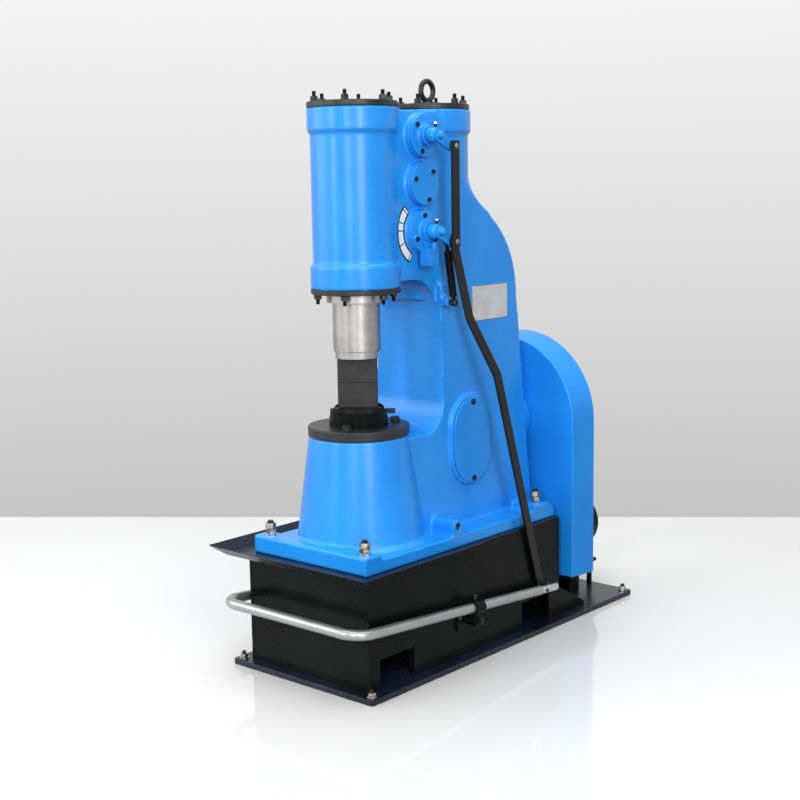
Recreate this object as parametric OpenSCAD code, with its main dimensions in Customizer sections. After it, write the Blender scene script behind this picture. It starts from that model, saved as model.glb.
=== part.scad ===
// Pneumatic forging hammer: one C-frame casting with two air cylinders, on a welded stand.
// A foot treadle lifts a rod that turns the two valve levers, and the ram drives the upper die.
// Millimetres, +Z up, dies towards -Y, valve gear on +X, origin under the middle of the base plate.

$fn = 64;

/* [Base plate and stand] */
// Reach of the base plate beyond each side of the stand
base_side = 37.5; // [36:0.5:80]
// Reach of the base plate in front of the stand
base_front = 33; // [20:1:80]
// Reach of the base plate behind the stand
base_rear = 327; // [320:1:400]
// Thickness of the base plate
base_t = 15; // [8:1:30]
// Corner radius of the base plate
base_corner_r = 8; // [2:1:30]
// Width of the stand over its side walls
stand_w = 415; // [390:1:460]
// Length of the stand's box along Y
stand_l = 800; // [780:1:840]
// Where the stand's front face lies on Y
stand_front_y = -547; // [-600:1:-500]
// Height of the stand
stand_h = 282; // [260:1:330]
// Thickness of the stand's plates
wall_t = 12; // [6:1:16]
// Radius of the side walls' upper rear corner
wall_corner_r = 8; // [4:1:20]
// Reach of the gusset behind the stand
gusset_l = 128; // [60:1:150]
// Height of the gusset where it meets the stand
gusset_h = 77; // [40:1:100]
// Height of the gusset's toe
gusset_toe = 8; // [4:1:20]
// Width of a forklift pocket
pocket_w = 127; // [90:1:150]
// Height of a forklift pocket
pocket_h = 73; // [50:1:76]
// Distance from the stand's front to the middle of the front pockets
pocket_front = 103; // [90:1:120]
// Distance from the stand's back to the middle of the rear pockets
pocket_rear = 114; // [90:1:130]

/* [Drip tray] */
// Thickness of the tray's sheet
tray_t = 3; // [2:0.5:5]
// Overhang of the tray's floor beyond the stand
tray_over = 32; // [20:1:50]
// Further overhang of the tray's floor in front
tray_front = 16; // [0:1:30]
// How far the lip flares outwards
lip_out = 31; // [15:1:45]
// How far the lip rises
lip_up = 25; // [15:1:40]
// Length of the side lips behind the stand's front
lip_l = 397; // [350:1:450]

/* [Casting foot] */
// Inset of the foot slab from each side of the stand
slab_side = 12.5; // [8:0.5:20]
// Inset of the foot slab from the stand's front
slab_front = 8; // [4:1:16]
// Inset of the foot slab from the stand's back
slab_rear = 5; // [2:1:16]
// Thickness of the foot slab
slab_t = 30; // [24:1:40]
// Rise of the bolting pads over the slab
pad_h = 15; // [8:1:25]
// Length of the front pad
pad_front_l = 54; // [45:1:70]
// Length of the rear pad
pad_rear_l = 66; // [50:1:90]
// Length of the slope behind the rear pad
pad_slope = 32; // [16:1:45]
// Radius of the bore for a cross shaft in the side bosses
cross_bore_r = 9.5; // [6:0.5:12]
// Radius of the cross shaft's bosses
cross_boss_r = 18; // [15:0.5:24]
// Distance from the hammer's axis to the cross shaft
cross_reach = 158; // [152:1:164]
// Height of the cross shaft over the foot slab
cross_h = 25; // [20:1:35]

/* [Anvil] */
// Distance from the foot slab's front to the hammer's axis
hammer_reach = 195; // [188:1:202]
// Radius of the anvil's foot
anvil_foot_r = 164; // [150:1:170]
// Radius of the anvil's head
anvil_head_r = 128; // [120:1:140]
// Height of the anvil's head above the slab's underside
anvil_h = 301; // [280:1:320]
// Reach of the ridge round the anvil's foot
ridge_w = 14; // [10:1:20]
// Width of the ridge's flat top
ridge_flat = 6; // [3:1:8]
// Height of the ridge
ridge_h = 9; // [5:1:14]
// Reach of the anvil plate beyond the anvil's head
anvil_plate_over = 2; // [0:0.5:10]
// Thickness of the anvil plate
anvil_plate_t = 25; // [15:1:35]
// Chamfer of the anvil plate
anvil_plate_chamfer = 2; // [1:0.5:4]
// Radius of the die holder
holder_r = 75; // [70:1:90]
// Height of the die holder
holder_h = 48; // [40:1:60]
// Chamfer of the die holder's rim
holder_chamfer = 8; // [4:1:12]

/* [Dies and ram] */
// Length of a die
die_l = 100; // [80:1:104]
// Width of a die
die_w = 50; // [40:1:52]
// Height of a die clear of its seat
die_h = 62; // [50:1:70]
// Depth of the lower die's root in its holder
die_root = 26; // [15:1:32]
// Thickness of the key that holds the lower die
key_t = 14; // [8:1:16]
// Length of the key beyond the holder
key_out = 24; // [10:1:40]
// Drop of the key's top below the holder's rim
key_drop = 4; // [2:1:8]
// Turn of the dies about the hammer's axis
die_turn = 40; // [0:1:60]
// Gap between the dies when the ram is down
die_gap = 0.3; // [0.2:0.1:1]
// Radius of the ram
ram_r = 60; // [58:0.5:62]
// Length of the ram
ram_l = 464; // [420:1:470]
// Chamfer of the ram's upper end
ram_chamfer = 3; // [1:0.5:5]
// Length of the ram's narrower nose
nose_l = 19; // [12:1:24]
// Step from the ram in to its nose
nose_step = 3.5; // [2:0.5:6]
// Width of the dovetail on the upper die
dovetail_w = 34; // [24:1:40]
// Depth of the dovetail in the ram
dovetail_h = 12; // [8:1:16]
// Undercut of each flank of the dovetail
dovetail_under = 3; // [2:0.5:5]
// Running clearance of the ram in its guide
ram_clear = 0.05; // [0.02:0.01:0.1]

/* [Frame casting] */
// Half width of the column at its foot
column_foot_x = 120; // [116:1:128]
// Half width of the column under the head
column_top_x = 107; // [104:1:110]
// Distance from the hammer's axis to the throat's back face
throat_depth = 206; // [200:1:214]
// Radius of the throat's lower corner
throat_low_r = 80; // [60:1:90]
// Radius of the throat's upper corner
throat_high_r = 85; // [60:1:95]
// Drop of the throat's floor below the anvil's head
throat_drop = 10; // [6:1:16]
// Rise of the throat's roof over the cylinder's lower end
throat_rise = 13; // [8:1:18]
// Inset of the column's back from the foot slab's back
back_inset = 3; // [1:1:12]
// Forward lean of the column's back up to the dome
back_lean = 52; // [40:1:60]
// Radius of the crankcase dome
dome_r = 255; // [245:1:265]
// Drop of the dome's middle below the cylinders' lower end
dome_drop = 45; // [35:1:55]
// Rise of the column's shoulder over the dome's middle in front
shoulder_rise = 70; // [50:1:90]
// Reach of the shoulder in front of the compressor's axis
shoulder_reach = 20; // [10:1:40]
// Radius of the compressor cylinder's flare into the dome
flare_r = 130; // [110:1:150]
// Height of the flare's upper end over the dome's middle
flare_h = 332; // [310:1:350]
// Radius of the fillet behind the flare
fillet_r = 80; // [60:1:90]
// Gap between that fillet and the compressor cylinder
fillet_gap = 6; // [4:1:12]
// Height of the crank's axis above the slab's underside
crank_h = 261; // [240:1:280]
// Radius of the crank's rear bearing housing
bearing_r = 90; // [70:1:110]
// Half width of the web between the cylinders
web_x = 90; // [84:1:96]
// Drop of the web's top below the cylinders' upper end
web_drop = 6; // [2:1:12]

/* [Cylinders] */
// Height of the cylinders' lower end above the slab's underside
head_low_h = 675; // [665:1:690]
// Length of the working cylinder
cyl_l = 443; // [430:1:460]
// Radius of the cylinders' bodies
cyl_r = 106; // [100:1:108]
// Radius of the cylinders' collars
collar_r = 113; // [110:1:120]
// Height of the upper collars
collar_top_h = 56; // [40:1:70]
// Height of the lower collar
collar_low_h = 56; // [40:1:70]
// Height of the collars' chamfer
collar_chamfer = 7; // [4:1:12]
// Distance between the cylinders' axes
cyl_pitch = 289; // [284:1:294]
// Radius of the compressor's cover
rear_cover_r = 110; // [106:1:116]
// Thickness of the cylinder covers
cover_t = 15; // [10:1:25]
// Chamfer of the cylinder covers and the gland ring
cover_chamfer = 1.5; // [0.5:0.5:4]
// Thickness of the gland ring under the working cylinder
gland_t = 14; // [10:1:20]
// Wall of the guide bush
bush_wall = 14.5; // [10:0.5:20]
// Height of the guide bush below the gland ring
bush_h = 22; // [15:1:26]
// Chamfer of the guide bush
bush_chamfer = 1; // [0.5:0.5:3]
// Clearance of the ram in the gland ring
gland_clear = 1; // [0.5:0.5:2]
// Clearance of the ram in the working cylinder
cyl_clear = 2; // [1:0.5:5]

/* [Lifting eye] */
// Mean radius of the eye's ring
eye_r = 24.5; // [18:0.5:32]
// Radius of the eye's bar
eye_bar_r = 7; // [5:0.5:9]
// Radius of the eye's collar
eye_collar_r = 17; // [12:0.5:22]
// Height of the eye's collar
eye_collar_h = 9; // [6:1:14]
// How far the ring sinks into its collar
eye_sink = 4; // [2:0.5:6]

/* [Valve covers] */
// Gap between two valve covers
valve_gap = 13; // [8:1:20]
// Rise of the lower valve's axis over the cylinders' lower end
valve_rise = 136; // [128:1:144]
// Radius of a valve cover
valve_cover_r = 53; // [48:1:56]
// Thickness of a valve cover
valve_cover_t = 8; // [5:1:12]
// Height of the casting's valve bosses over the web
valve_boss_h = 14; // [8:1:18]
// Radius of the hub on a valve cover
cover_hub_r = 25; // [22:1:30]
// Length of the hub on a valve cover
cover_hub_l = 16; // [12:1:20]
// How far the air outlet laps its cover
outlet_lap = 12; // [6:1:16]
// Shift of the air outlet towards the dies
outlet_shift = 4; // [0:1:10]
// Radius of the air outlet's edges
outlet_r = 9; // [4:1:12]
// Length of the air outlet out from its cover
outlet_l = 38; // [30:1:40]
// Width of the air outlet
outlet_w = 28; // [22:1:34]
// Height of the air outlet
outlet_h = 44; // [36:1:50]

/* [Valve levers] */
// Radius of a valve shaft
shaft_r = 8.7; // [6:0.1:10]
// Length of a valve shaft inside the casting
shaft_root = 30; // [20:1:36]
// Depth of the casting's bore for a valve shaft
shaft_bore_l = 40; // [38:1:50]
// Clearance of a valve shaft in the casting
shaft_bore_clear = 5; // [3:0.5:8]
// Running clearance of shafts and pins
pin_clear = 0.05; // [0.02:0.01:0.1]
// Radius of a lever's hub
lever_hub_r = 19.3; // [16:0.1:22]
// Length of a lever's hub
lever_hub_l = 30; // [26:1:36]
// Gap between a cover's hub and a lever's hub
hub_gap = 1; // [0.5:0.5:3]
// Length of a shaft's end beyond its lever
shaft_end = 10; // [6:1:20]
// Reach of a lever along Y
lever_y = 46; // [42:1:50]
// Drop of a lever at rest
lever_drop = 27; // [24:1:30]
// Thickness of a lever's arm
lever_t = 9; // [7:0.5:12]
// Radius of a lever's eye
lever_eye_r = 12; // [10:0.5:14]
// Radius of the link pins
link_pin_r = 6; // [4:0.5:7]
// Length of a pin's end beyond its bar
pin_end = 2; // [1:0.5:4]
// Radius of the spacer on the upper lever's pin
spacer_r = 10; // [8:0.5:12]
// Width of the link bar and of the pedal rod
bar_w = 27; // [22:1:30]
// Thickness of the link bar and of the pedal rod
bar_t = 7; // [5:0.5:8]
// Side gap between the plates on a pin
plate_gap = 1; // [0.5:0.5:2]
// Clearance round the pin at the pedal rod's upper end
open_clear = 3; // [2.6:0.1:4]

/* [Return spring] */
// Distance from the throat's back face to the lower ball
spring_back = 12; // [6:0.5:18]
// Drop of the lower ball below the lower lever's pin
spring_drop = 157; // [145:1:170]
// Side gap between the return spring's eye and the lever
spring_side = 2; // [1:0.5:4]
// Radius of the spring's tube
spring_tube_r = 10; // [8:0.5:11]
// Length of the spring's rod that shows at rest
spring_show = 16; // [10:1:40]
// Length of the neck between the tube and its eye
spring_neck = 25; // [18:1:30]
// Thickness of the tube's closed end
spring_cap_t = 6; // [4:1:10]
// Radius of the spring's rod
spring_rod_r = 5; // [3:0.5:6]
// Gap between the rod's end and the tube's closed end
spring_end_gap = 11; // [6:1:30]
// Radius of the spring's end eyes
spring_eye_r = 8; // [6.5:0.5:9]
// Width of the spring's end eyes
spring_eye_w = 14; // [10:1:15]
// Radius of the ball stud's neck
stud_r = 4; // [3:0.5:5]
// Radius of the casting's boss for the ball stud
stud_boss_r = 14; // [10:0.5:18]
// Length of the ball stud's neck that shows
stud_neck = 6; // [2:0.5:10]

/* [Inspection cover] */
// Width of the inspection cover
hatch_w = 150; // [120:1:160]
// Height of the inspection cover
hatch_h = 227; // [200:1:240]
// Thickness of the inspection cover
hatch_t = 5; // [3:0.5:10]
// Distance from the throat's back face to the cover's middle
hatch_reach = 100; // [94:1:110]
// Height of its middle above the slab's underside
hatch_z_h = 254; // [240:1:265]
// Border of the casting's boss round the cover
hatch_border = 8; // [4:1:10]
// Rise of the casting's boss over the column's widest part
hatch_rise = 6; // [1:0.5:8]

/* [Treadle] */
// Radius of the treadle's tube
tube_r = 13.45; // [12:0.05:15]
// Wall of the treadle's tube
tube_wall = 2.5; // [2:0.1:4]
// Distance from the stand's side to the middle of the treadle's tube
treadle_gap = 30.5; // [29:0.5:40]
// Bend radius of the tube's middle line
bend_r = 55; // [40:1:70]
// Distance from the stand's front to the treadle's pivot
pivot_reach = 377; // [365:1:390]
// Height of the treadle's pivot above the base plate
pivot_h = 95; // [85:1:105]
// Tilt of the treadle at rest, front up
treadle_tilt = 4.55; // [4:0.05:5]
// Height of the tube's middle line over the pivot
tube_over = 34; // [32:1:38]
// Distance from the stand's front to the middle of the front tube
toe_reach = 75; // [60:1:100]
// Distance from the right tube's end to the stand's back
tube_end = 140; // [128:1:155]
// Reach of the left tube behind the pivot
tube_rear_left = 60; // [30:1:100]
// Distance from the right tube's end to the pedal rod's pin
rod_pin_out = 35; // [20:1:45]
// Length of the end plug behind the right tube
plug_l = 74; // [60:1:80]
// Length of the end plug inside the tube
spigot_l = 40; // [20:1:60]
// Radius of the end plug
plug_r = 12.5; // [10:0.1:13.4]
// Outer radius of the treadle's collars
clamp_r = 20; // [18:0.5:24]
// Length of the treadle's collars along the tube
clamp_l = 36; // [26:1:44]
// Thickness of a collar's lug
lug_t = 20; // [14:1:22]
// Radius of a collar's lug round the pivot
lug_r = 16; // [13:0.5:20]
// Radius of the treadle's pivot pins
pivot_r = 8; // [6:0.5:10]
// Length of a pivot pin's end beyond its lug
pivot_end = 4; // [2:1:8]
// Length of the pivot bracket along Y
bracket_l = 90; // [70:1:110]
// Height of the pivot bracket
bracket_h = 50; // [40:1:60]
// Thickness of the pivot bracket's plate
bracket_t = 8; // [5:1:12]
// Gap between the stand and the pedal rod
rod_side_gap = 5.5; // [5:0.1:6]
// Drop from the rod's top pin to the upper bend of its joggle
joggle_top = 208; // [190:1:230]
// Length of the rod's joggle
joggle_l = 158; // [130:1:180]

/* [Belt guard] */
// Gap between the stand and the guard
guard_gap = 29; // [20:1:40]
// Depth of the guard
guard_d = 91; // [80:1:100]
// Radius of the guard's arch at its front
guard_front_r = 232; // [220:1:236]
// Radius of the guard's arch at its back
guard_back_r = 245; // [237:1:250]
// Height of the guard's lower edge above the base plate
guard_low_h = 102; // [85:1:120]

/* [Motor] */
// Clearance under the fan cowl
cowl_clear = 6; // [2:0.5:10]
// Radius of the motor's barrel
motor_r = 72; // [68:1:78]
// Length of the motor's barrel
motor_l = 190; // [165:1:200]
// Depth of the motor's cooling fins
fin_h = 9; // [5:1:10]
// Thickness of a cooling fin
fin_t = 3; // [2:0.5:5]
// Number of cooling fins
fin_n = 28; // [16:1:36]
// Reach of the fan cowl beyond the cooling fins
cowl_over = 4; // [2:0.5:10]
// Length of the fan cowl
cowl_l = 90; // [70:1:95]
// Chamfer of the fan cowl
cowl_chamfer = 10; // [5:1:20]
// Width of the rings at the barrel's ends
ring_l = 12; // [8:1:20]
// Distance of those rings from the barrel's ends
ring_gap = 6; // [2:1:10]
// Width of the terminal box
box_w = 100; // [70:1:110]
// Length of the terminal box
box_l = 90; // [60:1:100]
// Height of the terminal box
box_h = 46; // [30:1:60]
// Distance of the terminal box from the guard
box_gap = 30; // [20:1:50]
// Half width of the motor's mounting plate
motor_plate_x = 120; // [115:1:130]
// Thickness of the motor's mounting plate
motor_plate_t = 10; // [6:1:14]
// Height of the mounting plate's underside above the base plate
motor_plate_h = 69; // [60:1:80]
// Distance from the guard to the mounting plate
motor_plate_gap = 65; // [50:1:72]
// Length of the mounting plate
motor_plate_l = 142; // [120:1:142]
// Width of the plate's pedestal
pedestal_w = 224; // [200:1:230]
// Length of the plate's pedestal
pedestal_l = 52; // [40:1:60]
// Radius of the plate's rear posts
post_r = 8; // [6:0.5:12]
// Distance of the posts from the plate's edges
post_edge = 16; // [14:1:22]
// Distance of the pedestal from the plate's front edge
pedestal_edge = 8; // [4:1:16]
// Foot width of the motor
foot_w = 170; // [160:1:180]
// Foot length of the motor
foot_l = 100; // [80:1:105]
// Foot thickness of the motor
foot_t = 12; // [8:1:14]
// Width of one foot pad
foot_pad_w = 42; // [36:1:50]
// Half width between the foot legs
leg_x = 56; // [50:1:60]
// Thickness of a foot leg
leg_t = 16; // [10:1:20]

/* [Hidden] */

// Small length by which a cut runs past the face that it opens
over = 1;
// How far a boss reaches back into the wall that carries it
sink = 10;

// Heights, stacked from the floor up
stand_top_z = base_t + stand_h;
slab_z = stand_top_z + tray_t;
slab_top_z = slab_z + slab_t;
anvil_top_z = slab_z + anvil_h;
holder_z = anvil_top_z + anvil_plate_t;
holder_top_z = holder_z + holder_h;
die_split_z = holder_top_z + die_h;
upper_die_z = die_split_z + die_gap;
ram_z = upper_die_z + die_h;
cyl_low_z = slab_z + head_low_h;
cyl_top_z = cyl_low_z + cyl_l;
gland_z = cyl_low_z - gland_t;
bush_z = gland_z - bush_h;
crank_z = slab_z + crank_h;
dome_z = cyl_low_z - dome_drop;

// Outlines in plan of the stand, the base plate and the foot slab
stand_in_x = stand_w / 2 - wall_t;
stand_back_y = stand_front_y + stand_l;
pocket_front_y = stand_front_y + pocket_front;
pocket_rear_y = stand_back_y - pocket_rear;
lip_end_y = stand_front_y + lip_l;
base_w = stand_w + 2 * base_side;
base_l = base_front + stand_l + base_rear;
base_y = stand_front_y - base_front + base_l / 2;
slab_w = stand_w - 2 * slab_side;
slab_front_y = stand_front_y + slab_front;
slab_back_y = stand_back_y - slab_rear;

// Frame casting along Y, from the foot slab's ends
hammer_y = slab_front_y + hammer_reach;
compressor_y = hammer_y + cyl_pitch;
throat_y = hammer_y + throat_depth;
cross_y = hammer_y + cross_reach;
back_foot_y = slab_back_y - back_inset;
back_top_y = back_foot_y - back_lean;
dome_y = back_top_y - dome_r;
fillet_y = compressor_y + cyl_r + fillet_gap + fillet_r;
fillet_z = dome_z + sqrt(pow(dome_r + fillet_r, 2) - pow(fillet_y - dome_y, 2));
flare_z = dome_z + flare_h;
hatch_x = max(column_foot_x, column_top_x) + hatch_rise;
hatch_y = throat_y + hatch_reach;

// Rings that follow the piece inside them
anvil_plate_r = anvil_head_r + anvil_plate_over;
bush_r = ram_r + bush_wall;
cyl_bore_r = ram_r + cyl_clear;

// The throat opens just under the anvil's head and just over the gland ring
throat_low_z = anvil_top_z - throat_drop;
throat_high_z = cyl_low_z + throat_rise;

// Valve gear, stacked outwards from the web
cover_x = web_x + valve_boss_h;
cover_face_x = cover_x + valve_cover_t;
lever_x = cover_face_x + cover_hub_l + hub_gap;
lever_face_x = lever_x + lever_hub_l;
rod_top_x = lever_face_x + plate_gap;
link_x = rod_top_x + bar_t + plate_gap;
valve_y = (hammer_y + compressor_y) / 2;
valve_pitch = 2 * valve_cover_r + valve_gap;
lower_valve_z = cyl_low_z + valve_rise;
upper_valve_z = lower_valve_z + 2 * valve_pitch;
lever_l = norm([lever_y, lever_drop]);
lever_angle = -atan2(lever_drop, lever_y);
link_pin_y = valve_y + lever_y;
lower_pin_z = lower_valve_z - lever_drop;
upper_pin_z = upper_valve_z - lever_drop;

// Return spring between its ball stud and the lower pin
spring_x = lever_face_x - lever_t - spring_side - spring_eye_w / 2;
spring_y = throat_y + spring_back;
spring_z = lower_pin_z - spring_drop;
spring_lean = atan2(spring_y - link_pin_y, lower_pin_z - spring_z);
spring_l = norm([spring_y - link_pin_y, lower_pin_z - spring_z]);
spring_tube_l = spring_l - spring_show - spring_neck;
spring_rod_l = spring_show + spring_tube_l - spring_cap_t - spring_end_gap;
stud_boss_x = spring_x - spring_eye_w / 2 - stud_neck;

// Treadle and pedal rod
pivot_y = stand_front_y + pivot_reach;
pivot_z = base_t + pivot_h;
treadle_x = stand_w / 2 + treadle_gap;
treadle_front = pivot_y - stand_front_y + toe_reach;
tube_rear = stand_back_y - pivot_y - tube_end;
rod_pin_reach = tube_rear + rod_pin_out;
rod_low_x = stand_w / 2 + rod_side_gap;
rod_pin_y = pivot_y + rod_pin_reach * cos(treadle_tilt) + tube_over * sin(treadle_tilt);
rod_pin_z = pivot_z - rod_pin_reach * sin(treadle_tilt) + tube_over * cos(treadle_tilt);
rod_l = norm([link_pin_y - rod_pin_y, lower_pin_z - rod_pin_z]);
rod_lean = atan2(rod_pin_y - link_pin_y, lower_pin_z - rod_pin_z);
lug_x = treadle_x - lug_t / 2;

// Guard and motor
guard_y = stand_back_y + guard_gap;
guard_back_y = guard_y + guard_d;
guard_low_z = base_t + guard_low_h;
motor_plate_z = base_t + motor_plate_h;
motor_plate_y = guard_back_y + motor_plate_gap;
motor_foot_z = motor_plate_z + motor_plate_t;
cowl_r = motor_r + fin_h + cowl_over;
motor_axis_h = cowl_r + cowl_clear;
motor_z = motor_foot_z + motor_axis_h;
hatch_z = slab_z + hatch_z_h;

// Shapes that repeat

// Turns an outline drawn in Y and Z into a plate that starts at x and grows towards +X
module plate_yz(x, t) {
    translate([x, 0, 0]) rotate([90, 0, 90]) linear_extrude(t) children();
}

// Turns an outline drawn in X and Z into a plate that starts at y and grows towards +Y
module plate_xz(y, t) {
    translate([0, y + t, 0]) rotate([90, 0, 0]) linear_extrude(t) children();
}

// A cylinder along +X
module rod_x(x, y, z, r, l) {
    translate([x, y, z]) rotate([0, 90, 0]) cylinder(r = r, h = l);
}

// A cylinder along +Y
module rod_y(x, y, z, r, l) {
    translate([x, y, z]) rotate([-90, 0, 0]) cylinder(r = r, h = l);
}

// A rectangle with round corners, about its middle
module round_rect(w, l, r) {
    square([w - 2 * r, l], center = true);
    square([w, l - 2 * r], center = true);
    for (sx = [-1, 1], sy = [-1, 1])
        translate([sx * (w / 2 - r), sy * (l / 2 - r)]) circle(r);
}

// An upright slot outline with half-round ends, about its middle
module obround(w, h) {
    square([w, h - w], center = true);
    for (s = [-1, 1])
        translate([0, s * (h - w) / 2]) circle(w / 2);
}

// Two round eyes of different radius, joined by the flanks that touch both
module tapered_arm(l, r1, r2) {
    a = acos((r1 - r2) / l);
    circle(r1);
    translate([l, 0]) circle(r2);
    polygon([for (s = [1, -1], p = [0, 1])
        let (q = (s > 0) ? p : 1 - p, r = (q == 0) ? r1 : r2)
        [q * l + r * cos(a), s * r * sin(a)]]);
}

// A turned disc with a chamfer on both rims
module turned_disc(r, h, c) {
    rotate_extrude()
        polygon([[0, 0], [r - c, 0], [r, c], [r, h - c], [r - c, h], [0, h]]);
}

// The side plate of the stand with its gusset and forklift pockets, drawn in Y and Z
module stand_side_outline() {
    difference() {
        union() {
            translate([stand_front_y, base_t]) square([stand_l, stand_h - wall_corner_r]);
            translate([stand_front_y, base_t]) square([stand_l - wall_corner_r, stand_h]);
            translate([stand_back_y - wall_corner_r, stand_top_z - wall_corner_r]) circle(wall_corner_r);
            polygon([[stand_back_y - over, base_t], [stand_back_y + gusset_l, base_t],
                [stand_back_y + gusset_l, base_t + gusset_toe], [stand_back_y, base_t + gusset_h],
                [stand_back_y - over, base_t + gusset_h]]);
        }
        for (y = [pocket_front_y, pocket_rear_y])
            translate([y - pocket_w / 2, base_t - over]) square([pocket_w, pocket_h + over]);
    }
}

// Lip outline: the sheet leaves the floor's edge at u = 0 and flares out by lip_out
module lip_outline() {
    polygon([[0, 0], [lip_out, lip_up], [lip_out, lip_up + tray_t], [0, tray_t]]);
}

// Base plate and stand

module base_plate() {
    color("#1d2025") translate([0, base_y, 0]) linear_extrude(base_t)
        round_rect(base_w, base_l, base_corner_r);
}

module stand_front_wall() {
    color("#17191d")
        translate([-stand_in_x, stand_front_y, base_t]) cube([2 * stand_in_x, wall_t, stand_h]);
}

module stand_rear_wall() {
    color("#17191d")
        translate([-stand_in_x, stand_back_y - wall_t, base_t]) cube([2 * stand_in_x, wall_t, stand_h]);
}

module stand_left_wall() {
    color("#17191d") plate_yz(-stand_w / 2, wall_t) stand_side_outline();
}

module stand_right_wall() {
    color("#17191d") plate_yz(stand_in_x, wall_t) stand_side_outline();
}

module stand_top_plate() {
    color("#17191d")
        translate([-stand_in_x, stand_front_y + wall_t, stand_top_z - wall_t])
            cube([2 * stand_in_x, stand_l - 2 * wall_t, wall_t]);
}

module drip_tray() {
    floor_x = stand_w / 2 + tray_over;
    front_y = stand_front_y - tray_over - tray_front;
    color("#20242b") {
        translate([-stand_w / 2, lip_end_y - over, stand_top_z])
            cube([stand_w, stand_back_y - lip_end_y + over, tray_t]);
        translate([-floor_x, front_y, stand_top_z]) cube([2 * floor_x, lip_end_y - front_y, tray_t]);
        intersection() {
            translate([-floor_x - lip_out, front_y, stand_top_z]) rotate([90, 0, 90])
                linear_extrude(2 * (floor_x + lip_out)) mirror([1, 0]) lip_outline();
            translate([0, 0, stand_top_z - over]) linear_extrude(lip_up + tray_t + 2 * over)
                polygon([[-floor_x, front_y], [floor_x, front_y], [floor_x + lip_out, front_y - lip_out],
                    [-floor_x - lip_out, front_y - lip_out]]);
        }
        for (s = [0, 1]) mirror([s, 0, 0]) intersection() {
            translate([floor_x, lip_end_y, stand_top_z]) rotate([90, 0, 0])
                linear_extrude(lip_end_y - front_y + lip_out) lip_outline();
            translate([0, 0, stand_top_z - over]) linear_extrude(lip_up + tray_t + 2 * over)
                polygon([[floor_x, front_y], [floor_x + lip_out, front_y - lip_out],
                    [floor_x + lip_out, lip_end_y - lip_out], [floor_x, lip_end_y]]);
        }
    }
}

// Frame casting

// The foot slab with its front and rear bolting pads
module casting_foot() {
    pad_z = slab_top_z + pad_h;
    front_end = slab_front_y + pad_front_l;
    rear_start = slab_back_y - pad_rear_l - pad_slope;
    plate_yz(-slab_w / 2, slab_w) polygon([[slab_front_y, slab_z], [slab_back_y, slab_z],
        [slab_back_y, slab_top_z], [slab_back_y - pad_slope, pad_z], [rear_start, pad_z],
        [rear_start, slab_top_z], [front_end + pad_h, slab_top_z], [front_end, pad_z],
        [slab_front_y, pad_z]]);
}

// The column with the crankcase dome behind and the bridge to the anvil in front, drawn in Y and Z
module column_outline() {
    difference() {
        union() {
            polygon([[hammer_y, slab_z + over], [back_foot_y, slab_z + over], [back_foot_y, slab_top_z],
                [back_top_y, dome_z], [throat_y, dome_z], [throat_y, throat_low_z + throat_low_r],
                [throat_y - throat_low_r, throat_low_z], [hammer_y, throat_low_z]]);
            intersection() {
                translate([dome_y, dome_z]) circle(dome_r);
                polygon([[throat_y, dome_z - over], [back_top_y + over, dome_z - over],
                    [back_top_y + over, dome_z + dome_r], [compressor_y - shoulder_reach, dome_z + dome_r],
                    [throat_y, dome_z + shoulder_rise]]);
            }
        }
        translate([throat_y - throat_low_r, throat_low_z + throat_low_r]) circle(throat_low_r);
    }
}

// The head's web between the cylinders with the round upper corner of the throat, drawn in Y and Z
module saddle_outline() {
    touch = dome_r / (dome_r + fillet_r);
    difference() {
        polygon([[compressor_y, dome_z], [dome_y + touch * (fillet_y - dome_y),
            dome_z + touch * (fillet_z - dome_z)], [fillet_y, fillet_z], [fillet_y - fillet_r, fillet_z],
            [fillet_y - fillet_r, flare_z], [compressor_y, flare_z]]);
        translate([fillet_y, fillet_z]) circle(fillet_r);
    }
}

// Blend between the compressor cylinder and the dome
module saddle() {
    intersection() {
        plate_yz(-column_top_x, 2 * column_top_x) saddle_outline();
        translate([0, compressor_y, 0]) rotate_extrude() difference() {
            translate([0, dome_z]) square([cyl_r + flare_r, flare_h]);
            translate([cyl_r + flare_r - over, flare_z]) circle(flare_r);
        }
    }
}

module web_outline() {
    corner_z = throat_high_z - throat_high_r;
    difference() {
        translate([hammer_y, corner_z])
            square([compressor_y - hammer_y, cyl_top_z - web_drop - corner_z]);
        translate([hammer_y - over, corner_z - over])
            square([throat_y - throat_high_r - hammer_y + over, throat_high_r + over]);
        translate([throat_y - throat_high_r, corner_z]) circle(throat_high_r);
        translate([hammer_y - over, corner_z - over])
            square([throat_y - hammer_y + over, over]);
    }
}

// A cylinder's barrel between z0 and the top, with an upper collar
module barrel(y, z0) {
    translate([0, y, 0]) rotate_extrude()
        polygon([[0, z0], [cyl_r, z0], [cyl_r, cyl_top_z - collar_top_h - collar_chamfer],
            [collar_r, cyl_top_z - collar_top_h], [collar_r, cyl_top_z], [0, cyl_top_z]]);
}

module low_collar() {
    translate([0, hammer_y, cyl_low_z]) rotate_extrude()
        polygon([[0, 0], [collar_r, 0], [collar_r, collar_low_h], [cyl_r, collar_low_h + collar_chamfer],
            [0, collar_low_h + collar_chamfer]]);
}

// The anvil's cone, with a low ridge round its foot
module anvil_cone() {
    ridge_r = anvil_foot_r + ridge_w;
    translate([0, hammer_y, 0]) rotate_extrude()
        polygon([[0, slab_z + over], [ridge_r, slab_z + over], [ridge_r, slab_top_z],
            [anvil_foot_r + ridge_flat, slab_top_z + ridge_h], [anvil_foot_r, slab_top_z + ridge_h],
            [anvil_head_r, anvil_top_z], [0, anvil_top_z]]);
}

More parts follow.
